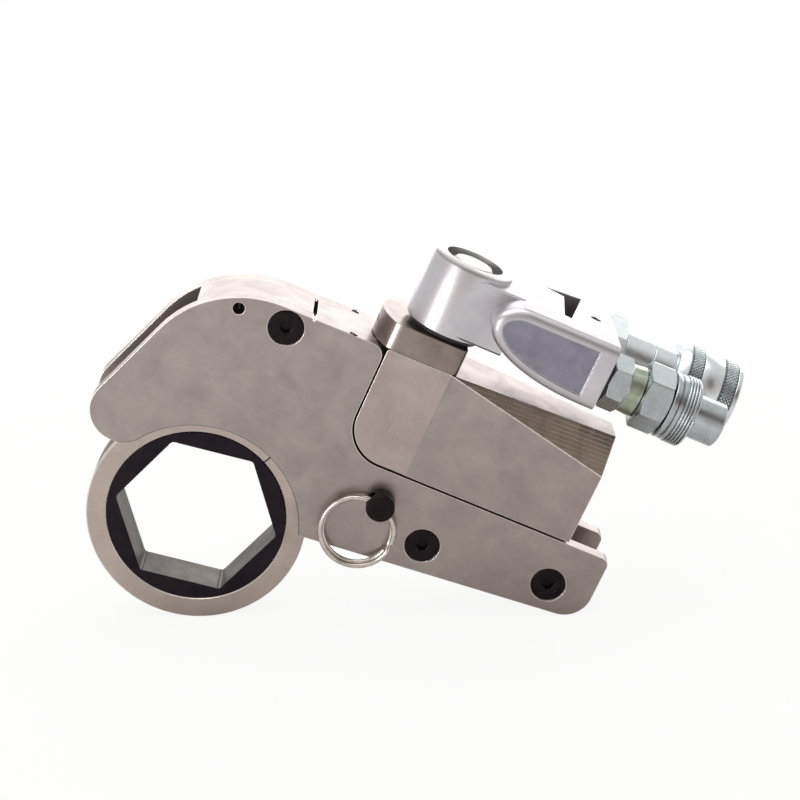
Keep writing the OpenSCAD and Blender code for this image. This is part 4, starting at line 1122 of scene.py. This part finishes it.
class WRENCH_OT_stage(bpy.types.Operator):
    """Pale floor, studio light and the camera"""
    bl_idname = "wrench.stage"
    bl_label = "Stage"

    def execute(self, context):
        scene = context.scene
        stage = scene.wrench_stage
        scene.view_settings.view_transform = "Standard"
        self.camera(scene, stage)
        self.floor(stage)
        self.world(scene, stage)
        self.lamps()
        return {"FINISHED"}

    def camera(self, scene, stage):
        data = bpy.data.cameras.new("Camera")
        data.lens = stage.lens
        data.sensor_width = SENSOR_MM
        data.clip_start = 0.01
        camera = placed("Camera", data)
        back = CAMERA_RIGHT.cross(CAMERA_UP)
        turn = Matrix((CAMERA_RIGHT, CAMERA_UP, back)).transposed().to_4x4()
        camera.matrix_world = Matrix.Translation(CAMERA_AT) @ turn
        scene.camera = camera

    def floor(self, stage):
        low = CAD_BOX[0].z - FLOOR_DROP
        middle = (CAD_BOX[0] + CAD_BOX[1]) / 2
        bm = bmesh.new()
        bmesh.ops.create_circle(bm, cap_ends=True, segments=96, radius=FLOOR_R)
        bmesh.ops.translate(bm, verts=bm.verts, vec=(middle.x, middle.y, low))
        mesh = mesh_of(bm, "floor")
        floor = placed("floor", mesh)
        # Matt paper, seen as white from the camera and, well away from the wrench, in its metal
        material = bpy.data.materials.new("pale_floor")
        tree = bare_tree(material)
        where = add(tree, "ShaderNodeTexCoord").outputs["Object"]
        centred = add(tree, "ShaderNodeMapping", {
            "Vector": where, "Location": (-middle.x, -middle.y, 0),
        })
        away = add(tree, "ShaderNodeVectorMath", {0: centred}, operation="LENGTH").outputs["Value"]
        fade = add(tree, "ShaderNodeMapRange", {
            "Value": away, "From Min": FLOOR_FADE[0], "From Max": FLOOR_FADE[1],
        }, interpolation_type="SMOOTHSTEP")
        path = add(tree, "ShaderNodeLightPath").outputs
        pale = add(tree, "ShaderNodeMapRange", {
            "Value": fade, "To Min": stage.pale_shadow, "To Max": 1.0,
        })
        seen = add(tree, "ShaderNodeMath", {0: path["Is Camera Ray"], 1: pale}, operation="MULTIPLY")
        mirrored = add(tree, "ShaderNodeMath", {0: path["Is Glossy Ray"], 1: fade}, operation="MULTIPLY")
        white = add(tree, "ShaderNodeMath", {0: seen, 1: mirrored}, operation="MAXIMUM")
        matt = add(tree, "ShaderNodeBsdfPrincipled", {
            "Base Color": rgba(stage.floor), "Roughness": 0.9, "Specular IOR Level": 0.1,
        })
        glow = add(tree, "ShaderNodeEmission", {"Color": WHITE, "Strength": 1.0})
        both = add(tree, "ShaderNodeMixShader", {0: white, 1: matt, 2: glow})
        add(tree, "ShaderNodeOutputMaterial", {"Surface": both})
        mesh.materials.append(material)

    def world(self, scene, stage):
        world = bpy.data.worlds.new("Studio")
        scene.world = world
        tree = bare_tree(world)
        where = add(tree, "ShaderNodeTexCoord").outputs["Generated"]
        split = add(tree, "ShaderNodeSeparateXYZ", {"Vector": where}).outputs
        # Each share goes from 0 to 1 between two values of the direction that the light comes from
        front, rise, roof, flag_in, flag_out = [
            add(tree, "ShaderNodeMapRange", {
                "Value": split[letter], "From Min": low, "From Max": high,
            }, interpolation_type="SMOOTHSTEP")
            for letter, low, high in (
                ("Y", 0.15, -0.55), ("Z", 0.12, 0.5), ("Z", 0.62, 0.85),
                ("X", 0.28, 0.42), ("X", 0.66, 0.54),
            )
        ]
        flag = add(tree, "ShaderNodeMath", {0: flag_in, 1: flag_out}, operation="MULTIPLY")
        # A grey wall with a dark flag in front, paler low down, and white behind and overhead
        tone = rgba(linear("#D2CCC6"))
        for factor, other, turned in (
            (flag, rgba(linear("#54493F")), False), (rise, rgba(linear("#EFEAE6")), True),
            (front, WHITE, True), (roof, WHITE, False),
        ):
            one, two = (other, tone) if turned else (tone, other)
            tone = add(tree, "ShaderNodeMix", {
                "Factor": factor, 6: one, 7: two,
            }, data_type="RGBA").outputs[2]
        studio = add(tree, "ShaderNodeBackground", {"Color": tone, "Strength": stage.world})
        white = add(tree, "ShaderNodeBackground", {"Color": WHITE, "Strength": 1.0})
        path = add(tree, "ShaderNodeLightPath").outputs["Is Camera Ray"]
        both = add(tree, "ShaderNodeMixShader", {0: path, 1: studio, 2: white})
        add(tree, "ShaderNodeOutputWorld", {"Surface": both})

    def lamps(self):
        middle = (CAD_BOX[0] + CAD_BOX[1]) / 2
        for name, place, size, power in (
            ("left_softbox", (-0.75, -0.85, 0.18), (0.3, 1.0), 7.0),
            ("top_softbox", (0.05, 0.1, 1.1), (1.2, 0.9), 6.0),
            ("back_softbox", (0.35, 1.2, 0.42), (2.2, 0.9), 9.5),
        ):
            data = bpy.data.lights.new(name, "AREA")
            data.shape = "RECTANGLE"
            data.size, data.size_y = size
            data.energy = power
            lamp = placed(name, data)
            lamp.location = place
            lamp.visible_camera = False
            lamp.rotation_euler = (middle - Vector(place)).to_track_quat("-Z", "Y").to_euler()


OPERATORS = (
    WRENCH_OT_stage,
    WRENCH_OT_side_plates,
    WRENCH_OT_bearing_rings,
    WRENCH_OT_spacers,
    WRENCH_OT_plate_screws,
    WRENCH_OT_ratchet,
    WRENCH_OT_power_head,
    WRENCH_OT_swivel_base,
    WRENCH_OT_manifold,
    WRENCH_OT_adapters,
    WRENCH_OT_male_coupler,
    WRENCH_OT_female_coupler,
    WRENCH_OT_release_pin,
)


class WRENCH_PT_panel(bpy.types.Panel):
    """Pieces and finishes of the torque wrench"""
    bl_label = "Torque wrench"
    bl_idname = "WRENCH_PT_panel"
    bl_space_type = "VIEW_3D"
    bl_region_type = "UI"
    bl_category = "Wrench"

    def draw(self, context):
        for group in GROUPS:
            box = self.layout.box()
            values = getattr(context.scene, group)
            for key in values.bl_rna.properties.keys():
                if key not in ("name", "rna_type"):
                    box.prop(values, key)
        for operator in OPERATORS:
            self.layout.operator(operator.bl_idname)


GROUPS = {
    "wrench_colours": WrenchColours,
    "wrench_sizes": WrenchSizes,
    "wrench_stage": WrenchStage,
}
CLASSES = (*GROUPS.values(), *OPERATORS, WRENCH_PT_panel)


def register():
    for cls in CLASSES:
        bpy.utils.register_class(cls)
    for name, cls in GROUPS.items():
        setattr(bpy.types.Scene, name, PointerProperty(type=cls))


def unregister():
    for name in GROUPS:
        delattr(bpy.types.Scene, name)
    for cls in reversed(CLASSES):
        bpy.utils.unregister_class(cls)


def main():
    register()
    for operator in OPERATORS:
        group, name = operator.bl_idname.split(".")
        getattr(getattr(bpy.ops, group), name)()


if __name__ == "__main__":
    main()
